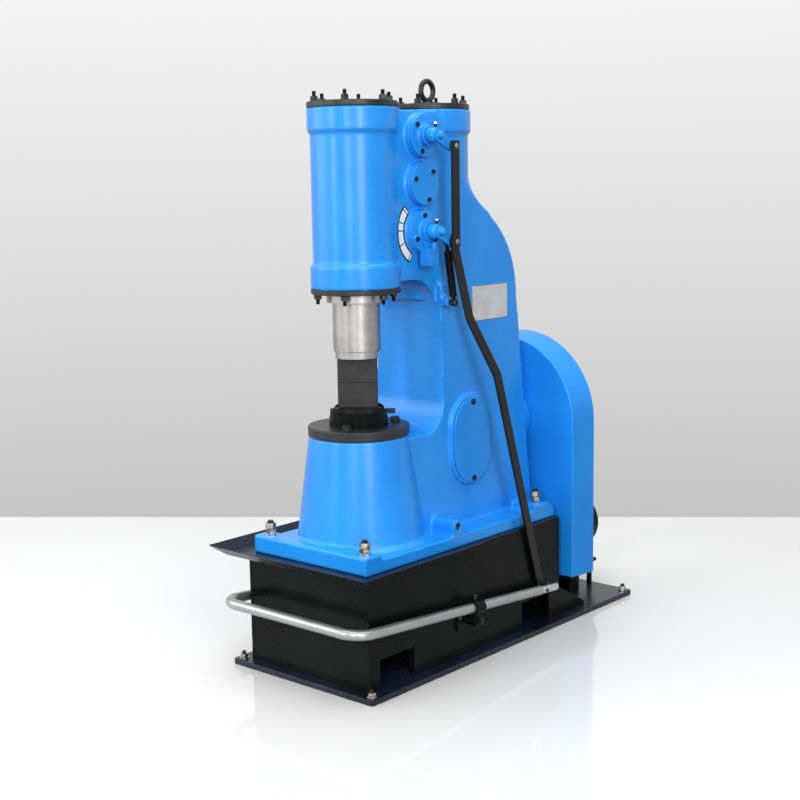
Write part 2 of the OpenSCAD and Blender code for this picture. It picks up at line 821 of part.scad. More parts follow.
// The bosses of one side: three valves, inspection opening and cross shaft
module side_bosses() {
    for (i = [0:2])
        rod_x(web_x - sink, valve_y, lower_valve_z + i * valve_pitch, valve_cover_r + over,
            valve_boss_h + sink);
    translate([0, hatch_y, hatch_z]) plate_yz(column_top_x - sink, hatch_x - column_top_x + sink)
        obround(hatch_w + 2 * hatch_border, hatch_h + 2 * hatch_border);
    rod_x(column_top_x - sink, cross_y, slab_top_z + cross_h, cross_boss_r,
        slab_w / 2 - column_top_x + sink);
    translate([column_top_x - sink, cross_y - cross_boss_r, slab_top_z - over])
        cube([slab_w / 2 - column_top_x + sink, 2 * cross_boss_r, cross_h + over]);
}

module frame_casting() {
    color("#2a8fe8") difference() {
        union() {
            casting_foot();
            anvil_cone();
            intersection() {
                plate_yz(-column_foot_x - over, 2 * (column_foot_x + over)) column_outline();
                plate_xz(hammer_y - over, back_foot_y - hammer_y + 2 * over)
                    polygon([[-column_foot_x, slab_z], [column_foot_x, slab_z],
                        [column_top_x, dome_z], [column_top_x, cyl_top_z], [-column_top_x, cyl_top_z],
                        [-column_top_x, dome_z]]);
            }
            plate_yz(-web_x, 2 * web_x) web_outline();
            barrel(hammer_y, cyl_low_z + over);
            barrel(compressor_y, dome_z);
            saddle();
            low_collar();
            side_bosses();
            mirror([1, 0, 0]) side_bosses();
            rod_x(web_x - sink, spring_y, spring_z, stud_boss_r, stud_boss_x - web_x + sink);
            rod_y(0, back_top_y - sink, crank_z, bearing_r, guard_y - back_top_y + sink);
        }
        translate([0, hammer_y, cyl_low_z - over]) cylinder(r = cyl_bore_r, h = cyl_l + 2 * over);
        for (i = [0, 2])
            rod_x(cover_x - shaft_bore_l, valve_y, lower_valve_z + i * valve_pitch,
                shaft_r + shaft_bore_clear, shaft_bore_l + over);
        for (s = [0, 1]) mirror([s, 0, 0])
            rod_x(column_foot_x, cross_y, slab_top_z + cross_h, cross_bore_r,
                slab_w / 2 - column_foot_x + over);
    }
}

// Head

module front_cylinder_cover() {
    color("#26282c") translate([0, hammer_y, cyl_top_z]) turned_disc(collar_r, cover_t, cover_chamfer);
}

module rear_cylinder_cover() {
    color("#26282c") translate([0, compressor_y, cyl_top_z])
        turned_disc(rear_cover_r, cover_t, cover_chamfer);
}

module lifting_eye() {
    eye_z = cyl_top_z + cover_t;
    color("#2b2d31") translate([0, compressor_y, eye_z]) {
        cylinder(r = eye_collar_r, h = eye_collar_h);
        translate([0, 0, eye_collar_h + eye_r + eye_bar_r - eye_sink]) rotate([0, 90, 0])
            rotate_extrude() translate([eye_r, 0]) circle(eye_bar_r);
    }
}

module gland_ring() {
    color("#26282c") translate([0, hammer_y, gland_z]) difference() {
        turned_disc(collar_r, gland_t, cover_chamfer);
        translate([0, 0, -over]) cylinder(r = ram_r + gland_clear, h = gland_t + 2 * over);
    }
}

module guide_bush() {
    color("#b9b9b6") translate([0, hammer_y, bush_z]) difference() {
        turned_disc(bush_r, bush_h, bush_chamfer);
        translate([0, 0, -over]) cylinder(r = ram_r + ram_clear, h = bush_h + 2 * over);
    }
}

// Anvil, dies and ram

// Puts a piece on the hammer's axis at height z, turned with the dies
module on_die_axis(z) {
    translate([0, hammer_y, z]) rotate([0, 0, die_turn]) children();
}

module anvil_plate() {
    color("#26282c") translate([0, hammer_y, anvil_top_z])
        turned_disc(anvil_plate_r, anvil_plate_t, anvil_plate_chamfer);
}

module die_holder() {
    color("#232529") on_die_axis(holder_z) difference() {
        rotate_extrude()
            polygon([[0, 0], [holder_r, 0], [holder_r, holder_h - holder_chamfer],
                [holder_r - holder_chamfer, holder_h], [0, holder_h]]);
        translate([-holder_r - over, -die_w / 2, holder_h - die_root])
            cube([2 * (holder_r + over), die_w + key_t, die_root + over]);
    }
}

module lower_die_key() {
    color("#2e3034") on_die_axis(holder_top_z - die_root)
        translate([-holder_r, die_w / 2, 0]) cube([2 * holder_r + key_out, key_t, die_root - key_drop]);
}

module lower_die() {
    color("#3a3b3e") on_die_axis(holder_top_z - die_root)
        translate([-die_l / 2, -die_w / 2, 0]) cube([die_l, die_w, die_root + die_h]);
}

// The dovetail's outline across the die, narrow at its foot
module dovetail_outline() {
    neck = dovetail_w / 2 - dovetail_under;
    polygon([[-neck, 0], [neck, 0], [dovetail_w / 2, dovetail_h], [-dovetail_w / 2, dovetail_h]]);
}

module upper_die() {
    color("#3a3b3e") on_die_axis(upper_die_z) {
        translate([-die_l / 2, -die_w / 2, 0]) cube([die_l, die_w, die_h]);
        translate([-die_l / 2, 0, die_h]) rotate([90, 0, 90]) linear_extrude(die_l) dovetail_outline();
    }
}

module ram() {
    color("#c4c4c2") on_die_axis(ram_z) difference() {
        rotate_extrude()
            polygon([[0, 0], [ram_r - nose_step, 0], [ram_r - nose_step, nose_l], [ram_r, nose_l],
                [ram_r, ram_l - ram_chamfer],
                [ram_r - ram_chamfer, ram_l], [0, ram_l]]);
        translate([-ram_r - over, 0, 0]) rotate([90, 0, 90]) linear_extrude(2 * (ram_r + over)) {
            dovetail_outline();
            translate([-dovetail_w / 2 + dovetail_under, -over])
                square([dovetail_w - 2 * dovetail_under, over]);
        }
    }
}

// Valve covers

// A cover disc whose back seats on the casting's boss at height z
module valve_disc(z) {
    rod_x(cover_x, valve_y, z, valve_cover_r, valve_cover_t);
}

// A cover with a hub that a valve shaft turns in
module shaft_cover(z) {
    difference() {
        union() {
            valve_disc(z);
            rod_x(cover_x, valve_y, z, cover_hub_r, valve_cover_t + cover_hub_l);
            children();
        }
        rod_x(cover_x - over, valve_y, z, shaft_r + pin_clear, valve_cover_t + cover_hub_l + 2 * over);
    }
}

module upper_valve_cover() {
    color("#2a8fe8") shaft_cover(upper_valve_z);
}

module middle_valve_cover() {
    color("#2a8fe8") valve_disc(lower_valve_z + valve_pitch);
}

module lower_valve_cover() {
    block_l = valve_cover_t + outlet_l;
    color("#2a8fe8") shaft_cover(lower_valve_z)
        translate([cover_x + block_l / 2, valve_y - outlet_shift,
            lower_valve_z - valve_cover_r + outlet_lap - outlet_h]) linear_extrude(outlet_h)
            round_rect(block_l, outlet_w, outlet_r);
}

module left_valve_covers() {
    color("#2a8fe8") mirror([1, 0, 0])
        for (i = [0:2]) valve_disc(lower_valve_z + i * valve_pitch);
}

// An inspection cover on the column's side boss
module hatch() {
    translate([0, hatch_y, hatch_z]) plate_yz(hatch_x, hatch_t) obround(hatch_w, hatch_h);
}

module inspection_cover() {
    color("#2a8fe8") hatch();
}

module left_inspection_cover() {
    color("#2a8fe8") mirror([1, 0, 0]) hatch();
}

// Guard and motor

module belt_guard() {
    color("#2a8fe8") {
        translate([0, guard_y, crank_z]) rotate([-90, 0, 0])
            cylinder(r1 = guard_front_r, r2 = guard_back_r, h = guard_d);
        translate([0, 0, guard_low_z]) linear_extrude(crank_z - guard_low_z)
            polygon([[-guard_front_r, guard_y], [guard_front_r, guard_y], [guard_back_r, guard_back_y],
                [-guard_back_r, guard_back_y]]);
    }
}

module motor_pedestal() {
    post_y = motor_plate_y + motor_plate_l - post_edge;
    color("#17191d") {
        translate([-pedestal_w / 2, motor_plate_y + pedestal_edge, base_t])
            cube([pedestal_w, pedestal_l, motor_plate_h]);
        for (s = [-1, 1]) translate([s * (motor_plate_x - post_edge), post_y, base_t])
            cylinder(r = post_r, h = motor_plate_h);
    }
}

module motor_plate() {
    color("#17191d") translate([-motor_plate_x, motor_plate_y, motor_plate_z])
        cube([2 * motor_plate_x, motor_plate_l, motor_plate_t]);
}

module motor_body() {
    foot_y = guard_back_y + motor_l - ring_gap - foot_l;
    color("#1b1c1f") {
        rod_y(0, guard_back_y, motor_z, motor_r, motor_l);
        for (y = [guard_back_y + ring_gap, guard_back_y + motor_l - ring_gap - ring_l])
            rod_y(0, y, motor_z, motor_r + fin_h, ring_l);
        for (i = [0:fin_n - 1]) translate([0, guard_back_y + ring_gap + ring_l - over, motor_z])
            rotate([0, i * 360 / fin_n, 0]) translate([-fin_t / 2, 0, motor_r - over])
                cube([fin_t, motor_l - 2 * (ring_gap + ring_l - over), fin_h]);
        for (s = [-1, 1]) {
            translate([s * (foot_w - foot_pad_w) / 2 - foot_pad_w / 2, foot_y, motor_foot_z])
                cube([foot_pad_w, foot_l, foot_t]);
            translate([s * leg_x - leg_t / 2, foot_y, motor_foot_z])
                cube([leg_t, foot_l, motor_axis_h / 2]);
        }
        translate([-box_w / 2, guard_back_y + box_gap, motor_z + motor_r - sink])
            cube([box_w, box_l, box_h]);
    }
}

module motor_fan_cowl() {
    color("#1b1c1f") translate([0, guard_back_y + motor_l, motor_z]) rotate([-90, 0, 0]) rotate_extrude()
        polygon([[0, 0], [cowl_r, 0], [cowl_r, cowl_l - cowl_chamfer], [cowl_r - cowl_chamfer, cowl_l],
            [0, cowl_l]]);
}

// Treadle and linkage

// A pivot bracket on the right wall of the stand, with its pin
module treadle_bracket() {
    x = stand_w / 2;
    translate([x, pivot_y - bracket_l / 2, pivot_z - bracket_h / 2])
        cube([bracket_t, bracket_l, bracket_h]);
    rod_x(x, pivot_y, pivot_z, lug_r, lug_x - plate_gap - x);
    rod_x(x, pivot_y, pivot_z, pivot_r, treadle_x + lug_t / 2 + pivot_end - x);
}

module left_treadle_bracket() {
    color("#1b1c1f") mirror([1, 0, 0]) treadle_bracket();
}

module right_treadle_bracket() {
    color("#1b1c1f") treadle_bracket();
}

// Carries the treadle's own level frame, with the pivot at its origin, to the tilt at rest
module on_treadle() {
    translate([0, pivot_y, pivot_z]) rotate([-treadle_tilt, 0, 0]) children();
}

// The treadle's bent bar with radius r, in its own frame
module treadle_bar(r, extra) {
    run_y = -treadle_front + bend_r;
    rod_x(-treadle_x + bend_r, -treadle_front, tube_over, r, 2 * (treadle_x - bend_r));
    rod_y(treadle_x, run_y, tube_over, r, tube_rear - run_y + extra);
    rod_y(-treadle_x, run_y, tube_over, r, tube_rear_left - run_y + extra);
    translate([treadle_x - bend_r, run_y, tube_over]) rotate([0, 0, -90])
        rotate_extrude(angle = 90) translate([bend_r, 0]) circle(r);
    translate([-treadle_x + bend_r, run_y, tube_over]) rotate([0, 0, 180])
        rotate_extrude(angle = 90) translate([bend_r, 0]) circle(r);
}

module treadle_tube() {
    color("#b8bcc0") on_treadle() difference() {
        treadle_bar(tube_r, 0);
        treadle_bar(tube_r - tube_wall, over);
    }
}

// A collar round the right tube, with its lug down to the pivot
module treadle_collar() {
    on_treadle() difference() {
        union() {
            rod_y(treadle_x, -clamp_l / 2, tube_over, clamp_r, clamp_l);
            translate([lug_x, -lug_r, 0]) cube([lug_t, 2 * lug_r, tube_over]);
            rod_x(lug_x, 0, 0, lug_r, lug_t);
        }
        rod_y(treadle_x, -clamp_l / 2 - over, tube_over, tube_r, clamp_l + 2 * over);
        rod_x(lug_x - over, 0, 0, pivot_r + pin_clear, lug_t + 2 * over);
    }
}

module left_treadle_collar() {
    color("#1b1c1f") mirror([1, 0, 0]) treadle_collar();
}

module right_treadle_collar() {
    color("#1b1c1f") treadle_collar();
}

module treadle_end_plug() {
    color("#a9adb1") on_treadle() {
        rod_y(treadle_x, tube_rear - spigot_l, tube_over, tube_r - tube_wall, spigot_l);
        rod_y(treadle_x, tube_rear, tube_over, plug_r, plug_l);
        rod_x(rod_low_x - pin_end, rod_pin_reach, tube_over, link_pin_r, treadle_x - rod_low_x + pin_end);
    }
}

module pedal_rod() {
    joggle_s = rod_l - joggle_top;
    color("#17191d") translate([0, rod_pin_y, rod_pin_z]) rotate([rod_lean, 0, 0]) difference() {
        union() {
            translate([0, bar_w / 2, 0]) rotate([90, 0, 0]) linear_extrude(bar_w)
                polygon([[rod_low_x, 0], [rod_low_x + bar_t, 0], [rod_low_x + bar_t, joggle_s - joggle_l],
                    [rod_top_x + bar_t, joggle_s], [rod_top_x + bar_t, rod_l], [rod_top_x, rod_l],
                    [rod_top_x, joggle_s], [rod_low_x, joggle_s - joggle_l]]);
            rod_x(rod_low_x, 0, 0, bar_w / 2, bar_t);
            rod_x(rod_top_x, 0, rod_l, bar_w / 2, bar_t);
        }
        rod_x(rod_low_x - over, 0, 0, link_pin_r + pin_clear, bar_t + 2 * over);
        rod_x(rod_top_x - over, 0, rod_l, link_pin_r + open_clear, bar_t + 2 * over);
    }
}

module link_bar() {
    color("#17191d") difference() {
        translate([link_x, link_pin_y - bar_w / 2, lower_pin_z - bar_w / 2])
            cube([bar_t, bar_w, upper_pin_z - lower_pin_z + bar_w]);
        for (z = [lower_pin_z, upper_pin_z])
            rod_x(link_x - over, link_pin_y, z, link_pin_r + pin_clear, bar_t + 2 * over);
    }
}

// A valve lever with its shaft at height z, and its link pin
module valve_lever(z) {
    translate([0, valve_y, z]) rotate([lever_angle, 0, 0]) {
        rod_x(cover_x - shaft_root, 0, 0, shaft_r, lever_face_x + shaft_end - cover_x + shaft_root);
        rod_x(lever_x, 0, 0, lever_hub_r, lever_hub_l);
        plate_yz(lever_face_x - lever_t, lever_t) tapered_arm(lever_l, lever_hub_r, lever_eye_r);
        rod_x(lever_face_x - lever_t, lever_l, 0, link_pin_r,
            link_x + bar_t + pin_end - lever_face_x + lever_t);
    }
}

module lower_lever() {
    color("#2a8fe8") valve_lever(lower_valve_z);
}

module upper_lever() {
    color("#2a8fe8") {
        valve_lever(upper_valve_z);
        rod_x(lever_face_x, link_pin_y, upper_pin_z, spacer_r, link_x - plate_gap / 2 - lever_face_x);
    }
}

module spring_stud() {
    color("#1b1c1f")
        rod_x(stud_boss_x, spring_y, spring_z, stud_r, stud_neck + spring_eye_w);
}

// Puts a piece on the return spring's line, with the lower ball at its origin
module on_spring() {
    translate([spring_x, spring_y, spring_z]) rotate([spring_lean, 0, 0]) children();
}

module spring_rod() {
    color("#8d9094") on_spring() difference() {
        union() {
            cylinder(r = spring_rod_r, h = spring_rod_l);
            rod_x(-spring_eye_w / 2, 0, 0, spring_eye_r, spring_eye_w);
        }
        rod_x(-spring_eye_w / 2 - over, 0, 0, stud_r + pin_clear, spring_eye_w + 2 * over);
    }
}

module spring_tube() {
    color("#17191d") on_spring() difference() {
        union() {
            translate([0, 0, spring_show]) cylinder(r = spring_tube_r, h = spring_tube_l);
            translate([0, 0, spring_show]) cylinder(r = spring_rod_r, h = spring_l - spring_show);
            rod_x(-spring_eye_w / 2, 0, spring_l, spring_eye_r, spring_eye_w);
        }
        translate([0, 0, spring_show - over])
            cylinder(r = spring_rod_r + pin_clear, h = spring_tube_l - spring_cap_t + over);
    }
}

base_plate();
stand_front_wall();
stand_rear_wall();
stand_left_wall();
stand_right_wall();
stand_top_plate();
drip_tray();
frame_casting();
front_cylinder_cover();
rear_cylinder_cover();
lifting_eye();
gland_ring();
guide_bush();
anvil_plate();
die_holder();
lower_die_key();
lower_die();
upper_valve_cover();
middle_valve_cover();
lower_valve_cover();
left_valve_covers();
inspection_cover();
left_inspection_cover();
belt_guard();
motor_pedestal();
motor_plate();
motor_body();
motor_fan_cowl();
left_treadle_bracket();
right_treadle_bracket();
spring_stud();
ram();
upper_die();
treadle_tube();
left_treadle_collar();
right_treadle_collar();
treadle_end_plug();
pedal_rod();
link_bar();
lower_lever();
upper_lever();
spring_rod();
spring_tube();
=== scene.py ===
import math

import bmesh
import bpy
import numpy as np
from bpy.props import FloatProperty, IntProperty, PointerProperty, StringProperty
from mathutils import Matrix, Vector
from mathutils.bvhtree import BVHTree


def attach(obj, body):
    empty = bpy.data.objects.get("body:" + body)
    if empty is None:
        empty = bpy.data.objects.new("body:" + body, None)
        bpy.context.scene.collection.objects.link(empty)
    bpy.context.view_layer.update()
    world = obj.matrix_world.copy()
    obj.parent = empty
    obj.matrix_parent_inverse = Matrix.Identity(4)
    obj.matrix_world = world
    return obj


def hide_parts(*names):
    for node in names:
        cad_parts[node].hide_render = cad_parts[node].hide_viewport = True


bl_info = {
    "name": "Pneumatic forging hammer",
    "version": (1, 0, 0),
    "blender": (4, 5, 0),
    "location": "3D View > Sidebar > Hammer",
    "description": "Builds the looks of a pneumatic forging hammer around its packed CAD frame",
    "category": "Object",
}

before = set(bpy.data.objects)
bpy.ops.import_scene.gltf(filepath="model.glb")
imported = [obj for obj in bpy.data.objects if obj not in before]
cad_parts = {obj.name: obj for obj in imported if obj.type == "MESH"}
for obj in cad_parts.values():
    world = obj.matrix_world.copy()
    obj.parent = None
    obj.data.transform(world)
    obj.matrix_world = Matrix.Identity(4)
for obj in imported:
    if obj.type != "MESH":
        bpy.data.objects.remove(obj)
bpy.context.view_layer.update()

# Places of the CAD frame that the details are set on, in metres and degrees
MM = 0.001
SIDES = (("X", 1), ("-X", -1))
HAMMER_Y = -0.344
DIE_TURN = 40
COMPRESSOR_Y = -0.055
COVER_TOP = 1.433
GLAND_FACE = 0.961
WEB_X = 0.09
VALVE_Y = -0.1995
VALVE_Z = (1.111, 1.230, 1.349)
LEVER_ARM = (0.046, -0.027)
PLUG_X, PLUG_Y = 0.13, -0.1895
SPRING_Y, SPRING_Z = -0.126, 0.927
CROSS_Y, CROSS_Z = -0.186, 0.355
ANVIL_TOP = 0.626
PAD_TOP = 0.345
BASE_TOP = 0.015
TREADLE_X = 0.238
TREADLE_FRONT = -0.452
PIVOT_Y, PIVOT_Z = -0.17, 0.11
TREADLE_TILT = -4.55


# Sizes and colours

def length(name, description, default):
    """A length in metres with the given default."""
    return FloatProperty(name=name, description=description, default=default, unit="LENGTH")


def repeats(name, description, default):
    """A number of smoothing rounds."""
    return IntProperty(name=name, description=description, default=default, min=0)


def tint(name, description, default):
    """A colour as an sRGB hex code."""
    return StringProperty(name=name, description=description, default=default)


class HammerFinishes(bpy.types.PropertyGroup):
    """Colours of paint, metal and studio"""
    azure: tint("Azure enamel", "Paint on the casting and guard", "#1E8EE6")
    azure_deep: tint("Azure enamel, thick", "The same paint where it lies thicker", "#1986DF")
    plate_black: tint("Black plate paint", "Paint on stand, motor and treadle brackets", "#090A0B")
    plate_black_thin: tint("Black plate paint, thin", "The same paint where it is rubbed thin", "#131414")
    # Both base paint tones carry a navy tint that is a painted blue reflection
    base_black: tint("Black base paint", "Paint on the base plate and tray", "#0A0E15")
    base_black_blue_reflection: tint("Black base paint, painted blue reflection", "The same paint where it looks blue", "#162034")
    bar_black: tint("Black bar paint", "Paint on the link bar and pedal rod", "#15120F")
    oxide: tint("Black oxide", "Turned covers and fasteners", "#101113")
    oxide_worn: tint("Black oxide, rubbed", "The same where hands and tools rub it", "#1D1E20")
    die_steel: tint("Die steel", "Milled and hardened dies", "#2A2A2B")
    bare_iron: tint("Bare iron", "Unpainted bore of the cross boss", "#4A3A2B")
    steel: tint("Ground steel", "Ram and bush", "#A4A3A2")
    pipe: tint("Galvanised pipe", "Treadle pipe", "#A3A5A5")
    zinc: tint("Zinc plate", "Washers, oiler caps and bolts", "#C6C7C6")
    zinc_warm: tint("Passivated zinc", "Nuts on the foot and base", "#C4B8A6")
    aluminium: tint("Aluminium sheet", "The bare plate", "#CBCCCE")
    white: tint("White enamel", "Ground of the divided arc", "#E4E5E8")
    ink: tint("Black enamel", "Outline and divisions of the arc", "#1A1B1D")
    pin_steel: tint("Pin steel", "Turned link pins", "#8E877D")
    floor: tint("Floor", "Pale studio floor", "#D1D1D1")


class HammerSizes(bpy.types.PropertyGroup):
    """Sizes of the details that the CAD frame leaves to the looks"""
    voxel: length("Casting cell", "Cell of the casting's skin", 0.003)
    rounds: repeats("Casting rounds", "Smoothing rounds that round the casting's edges", 26)
    blends: repeats("Blend rounds", "Smoothing rounds that blend the web into the cylinders", 110)
    shoulder: repeats("Shoulder rounds", "Smoothing rounds that run the web out into the column", 380)
    tile: length("Casting tile", "Largest flat facet of the casting's skin", 0.0237)
    sheet_edge: length("Guard edge", "Rounding of the guard's folded edges", 0.004)
    plate_edge: length("Plate edge", "Rounding of sawn and ground plate edges", 0.0015)
    tray_edge: length("Tray edge", "Rounding of the thin tray's edges", 0.0009)
    bar_edge: length("Bar edge", "Rounding of flat bar and tube ends", 0.001)
    pin_edge: length("Pin edge", "Rounding of thin rods and studs", 0.0006)
    fin_edge: length("Fin edge", "Rounding of the motor's fins", 0.0008)
    cover_edge: length("Cover edge", "Rounding of the valve covers and levers", 0.0014)
    lid_edge: length("Inspection edge", "Rounding of the inspection covers", 0.0018)
    turned_edge: length("Turned edge", "Rounding of turned and milled edges", 0.0012)
    cover_ring: length("Cover stud circle", "Radius of the studs round the cylinder covers", 0.098)
    cover_nut: length("Cover nut", "Across flats of the cover nuts", 0.0175)
    cover_stud: length("Cover stud", "Radius of the cover studs", 0.0052)
    foot_nut: length("Foot nut", "Across flats of the casting's foot nuts", 0.024)
    foot_stud: length("Foot stud", "Radius of the casting's foot studs", 0.008)
    anchor_nut: length("Anchor nut", "Across flats of the base plate's nuts", 0.0182)
    anchor_stud: length("Anchor stud", "Radius of the base plate's anchors", 0.0058)
    screw_ring: length("Valve screw circle", "Radius of the screws in a valve cover", 0.041)
    screw_head: length("Cover screw head", "Radius of a cover screw's head", 0.0062)


# Small helpers

def linear(code):
    """The linear RGBA of an sRGB hex code."""
    parts = [int(code[i:i + 2], 16) / 255 for i in (1, 3, 5)]
    return [c / 12.92 if c <= 0.04045 else ((c + 0.055) / 1.055) ** 2.4 for c in parts] + [1.0]


def add(tree, kind, links=None, **settings):
    """Adds a shader node with its settings, and its inputs as values or as other nodes' outputs."""
    made = tree.nodes.new("ShaderNode" + kind)
    for key, value in settings.items():
        setattr(made, key, value)
    for key, value in (links or {}).items():
        if isinstance(value, bpy.types.NodeSocket):
            tree.links.new(value, made.inputs[key])
        else:
            made.inputs[key].default_value = value
    return made


def finish_of(name, fill):
    """The named material, filled once by fill(tree, shader, object coordinates)."""
    made = bpy.data.materials.get(name)
    if made is None:
        made = bpy.data.materials.new(name)
        made.use_nodes = True
        tree = made.node_tree
        fill(tree, tree.nodes["Principled BSDF"], add(tree, "TexCoord").outputs["Object"])
    return made


def coat(tree, shader, at, mottle, tones, marks, rough, swing, relief):
    """Gives a shader two tones in patches of mottle mm, a shine that follows its marks, and its relief."""
    patch = add(tree, "TexNoise", {"Vector": at, "Scale": 1 / (mottle * MM), "Detail": 4.0}).outputs[0]
    share = add(tree, "MapRange", {"Value": patch, "From Min": 0.35, "From Max": 0.65}).outputs[0]
    light, deep = (linear(code) for code in tones)
    tone = add(tree, "Mix", {0: share, 6: deep, 7: light}, data_type="RGBA").outputs[2]
    gloss = add(tree, "MapRange", {"Value": marks, "From Min": 0.3, "From Max": 0.7,
                                   "To Min": rough - swing, "To Max": rough + swing}).outputs[0]
    for socket, source in (("Base Color", tone), ("Roughness", gloss), ("Normal", relief)):
        tree.links.new(source, shader.inputs[socket])


def painted(name, tones, rough, shine, peel, wave):
    """A paint film: its peel, and the waves of what lies under it, each as a size and a depth in mm."""
    def fill(tree, shader, at):
        fine, slow = (
            add(tree, "TexNoise", {"Vector": at, "Scale": 1 / (size * MM), "Detail": detail}).outputs[0]
            for size, detail in ((peel[0], 2.0), (wave[0], 1.0)))
        under = add(tree, "Bump", {"Height": slow, "Strength": 1.0, "Distance": wave[1] * MM}).outputs[0]
        skin = add(tree, "Bump", {"Height": fine, "Strength": 1.0, "Distance": peel[1] * MM, "Normal": under})
        shader.inputs["Specular IOR Level"].default_value = shine
        coat(tree, shader, at, 160, tones, fine, rough, 0.03, skin.outputs[0])
    return finish_of(name, fill)


def worked(name, tones, metallic, rough, lay, depth, mottle):
    """A worked metal: lay marks a metre along each axis, their depth in mm, and patches of mottle mm."""
    def fill(tree, shader, at):
        drawn = add(tree, "VectorMath", {0: at, 1: lay}, operation="MULTIPLY").outputs[0]
        marks = add(tree, "TexNoise", {"Vector": drawn, "Scale": 1.0, "Detail": 3.0}).outputs[0]
        skin = add(tree, "Bump", {"Height": marks, "Strength": 1.0, "Distance": depth * MM}).outputs[0]
        shader.inputs["Metallic"].default_value = metallic
        coat(tree, shader, at, mottle, tones, marks, rough, 0.07, skin)
    return finish_of(name, fill)


def turned(name, tones, metallic, rough, feed, depth):
    """A lathe-turned metal: rings of feed and depth in mm round the piece's own Z axis, on ends and sides."""
    def fill(tree, shader, at):
        across = add(tree, "VectorMath", {0: at, 1: (1, 1, 0)}, operation="MULTIPLY").outputs[0]
        radius = add(tree, "VectorMath", {0: across}, operation="LENGTH").outputs["Value"]
        height = add(tree, "SeparateXYZ", {0: at}).outputs["Z"]
        along = add(tree, "Math", {0: radius, 1: height}, operation="ADD").outputs[0]
        rings = add(tree, "TexNoise", {"W": along, "Scale": 1 / (feed * MM), "Detail": 3.0},
                    noise_dimensions="1D").outputs[0]
        skin = add(tree, "Bump", {"Height": rings, "Strength": 1.0, "Distance": depth * MM}).outputs[0]
        shader.inputs["Metallic"].default_value = metallic
        coat(tree, shader, at, 40, tones, rings, rough, 0.06, skin)
    return finish_of(name, fill)


def looked_at(tree):
    """1 for rays from the camera, straight or by way of a mirror or glass, and 0 for other light."""
    ray = add(tree, "LightPath").outputs
    seen = ray["Is Camera Ray"]
    for other in (ray["Is Glossy Ray"], ray["Is Transmission Ray"]):
        seen = add(tree, "Math", {0: seen, 1: other}, operation="MAXIMUM").outputs[0]
    return seen


# Finishes, each named for its material and how its surface was made

def cast_enamel(f):
    """Soft long highlights with a grain: the real peel of about 1 mm is drawn at 5 mm so that it shows."""
    return painted("azure_enamel_sprayed_on_casting", (f.azure, f.azure_deep), 0.3, 0.38,
                   (5, 0.14), (70, 0.7))


def sheet_enamel(f):
    """The same blue on flat sheet: calmer, with only a slow bend in what it mirrors."""
    return painted("azure_enamel_sprayed_on_sheet", (f.azure, f.azure_deep), 0.32, 0.32,
                   (6, 0.12), (150, 0.6))


def plate_paint(f):
    """Deep neutral black with a soft sheen on the stand's plates."""
    return painted("black_paint_sprayed_on_plate", (f.plate_black_thin, f.plate_black), 0.26, 0.07,
                   (6, 0.02), (120, 0.4))


def base_paint(f):
    """Black with navy patches, on base plate and tray: the navy is a painted blue reflection."""
    return painted("black_paint_rolled_on_plate", (f.base_black_blue_reflection, f.base_black), 0.28, 0.3,
                   (6, 0.03), (120, 0.4))


def bar_paint(f):
    """Warm black with a dull sheen along flat bar."""
    return painted("black_paint_brushed_on_bar", (f.bar_black, "#0C0B0A"), 0.42, 0.25, (5, 0.1), (50, 0.2))


def black_turned(f):
    """Dark covers whose edges and rings catch grey light; the rings are drawn at 3 mm so that they show."""
    return turned("black_oxide_turned_steel", (f.oxide_worn, f.oxide), 0.22, 0.42, 3, 0.05)


def black_pressed(f):
    """Small dark nuts, studs and screw heads with grey edges."""
    return worked("black_oxide_pressed_steel", (f.oxide_worn, f.oxide), 0.3, 0.42, (300, 300, 300), 0.05, 12)


def die_metal(f):
    """Dull dark grey milled dies."""
    return worked("milled_die_steel", (f.die_steel, "#222223"), 0.5, 0.55, (60, 60, 420), 0.08, 30)


def bore_iron(f):
    """A dim brown hole instead of a blue one."""
    return worked("bored_cast_iron", (f.bare_iron, "#33281D"), 0.4, 0.5, (90, 90, 90), 0.1, 10)


def ground_steel(f):
    """A broad soft upright band on ram and bush, broken by fine rings that are drawn at 4 mm to show."""
    return turned("cylindrically_ground_steel", (f.steel, "#979695"), 1.0, 0.37, 4, 0.02)


def pipe_zinc(f):
    """Satin pipe, light above and grey below."""
    return worked("galvanised_drawn_pipe", (f.pipe, "#9A9C9C"), 0.75, 0.32, (20, 20, 20), 0.01, 100)


def pin_metal(f):
    """Dull warm grey pins on the black bars."""
    return worked("turned_pin_steel", (f.pin_steel, "#6E675E"), 0.7, 0.42, (260, 260, 260), 0.03, 8)


def zinc_pressed(f):
    """Light washers and caps with a bright shine."""
    return worked("zinc_plated_pressed_steel", (f.zinc, "#A9ABAC"), 1.0, 0.24, (260, 260, 260), 0.03, 10)


def zinc_passivated(f):
    """Nuts with a warm straw tinge and light and dark flats."""
    return worked("passivated_zinc_pressed_steel", (f.zinc_warm, "#9A8E7B"), 1.0, 0.22,
                  (260, 260, 260), 0.03, 10)


def plate_aluminium(f):
    """A pale plate with level brush lines."""
    return worked("brushed_aluminium_sheet", (f.aluminium, "#BBBDC0"), 0.4, 0.45, (300, 14, 420), 0.04, 60)


def arc_white(f):
    """Clean white ground of the arc."""
    return painted("white_enamel_on_sheet", (f.white, "#DADCDF"), 0.35, 0.4, (4, 0.03), (50, 0.1))


def arc_black(f):
    """Crisp dark outline and divisions."""
    return painted("black_enamel_on_sheet", (f.ink, "#131416"), 0.4, 0.3, (4, 0.03), (50, 0.1))


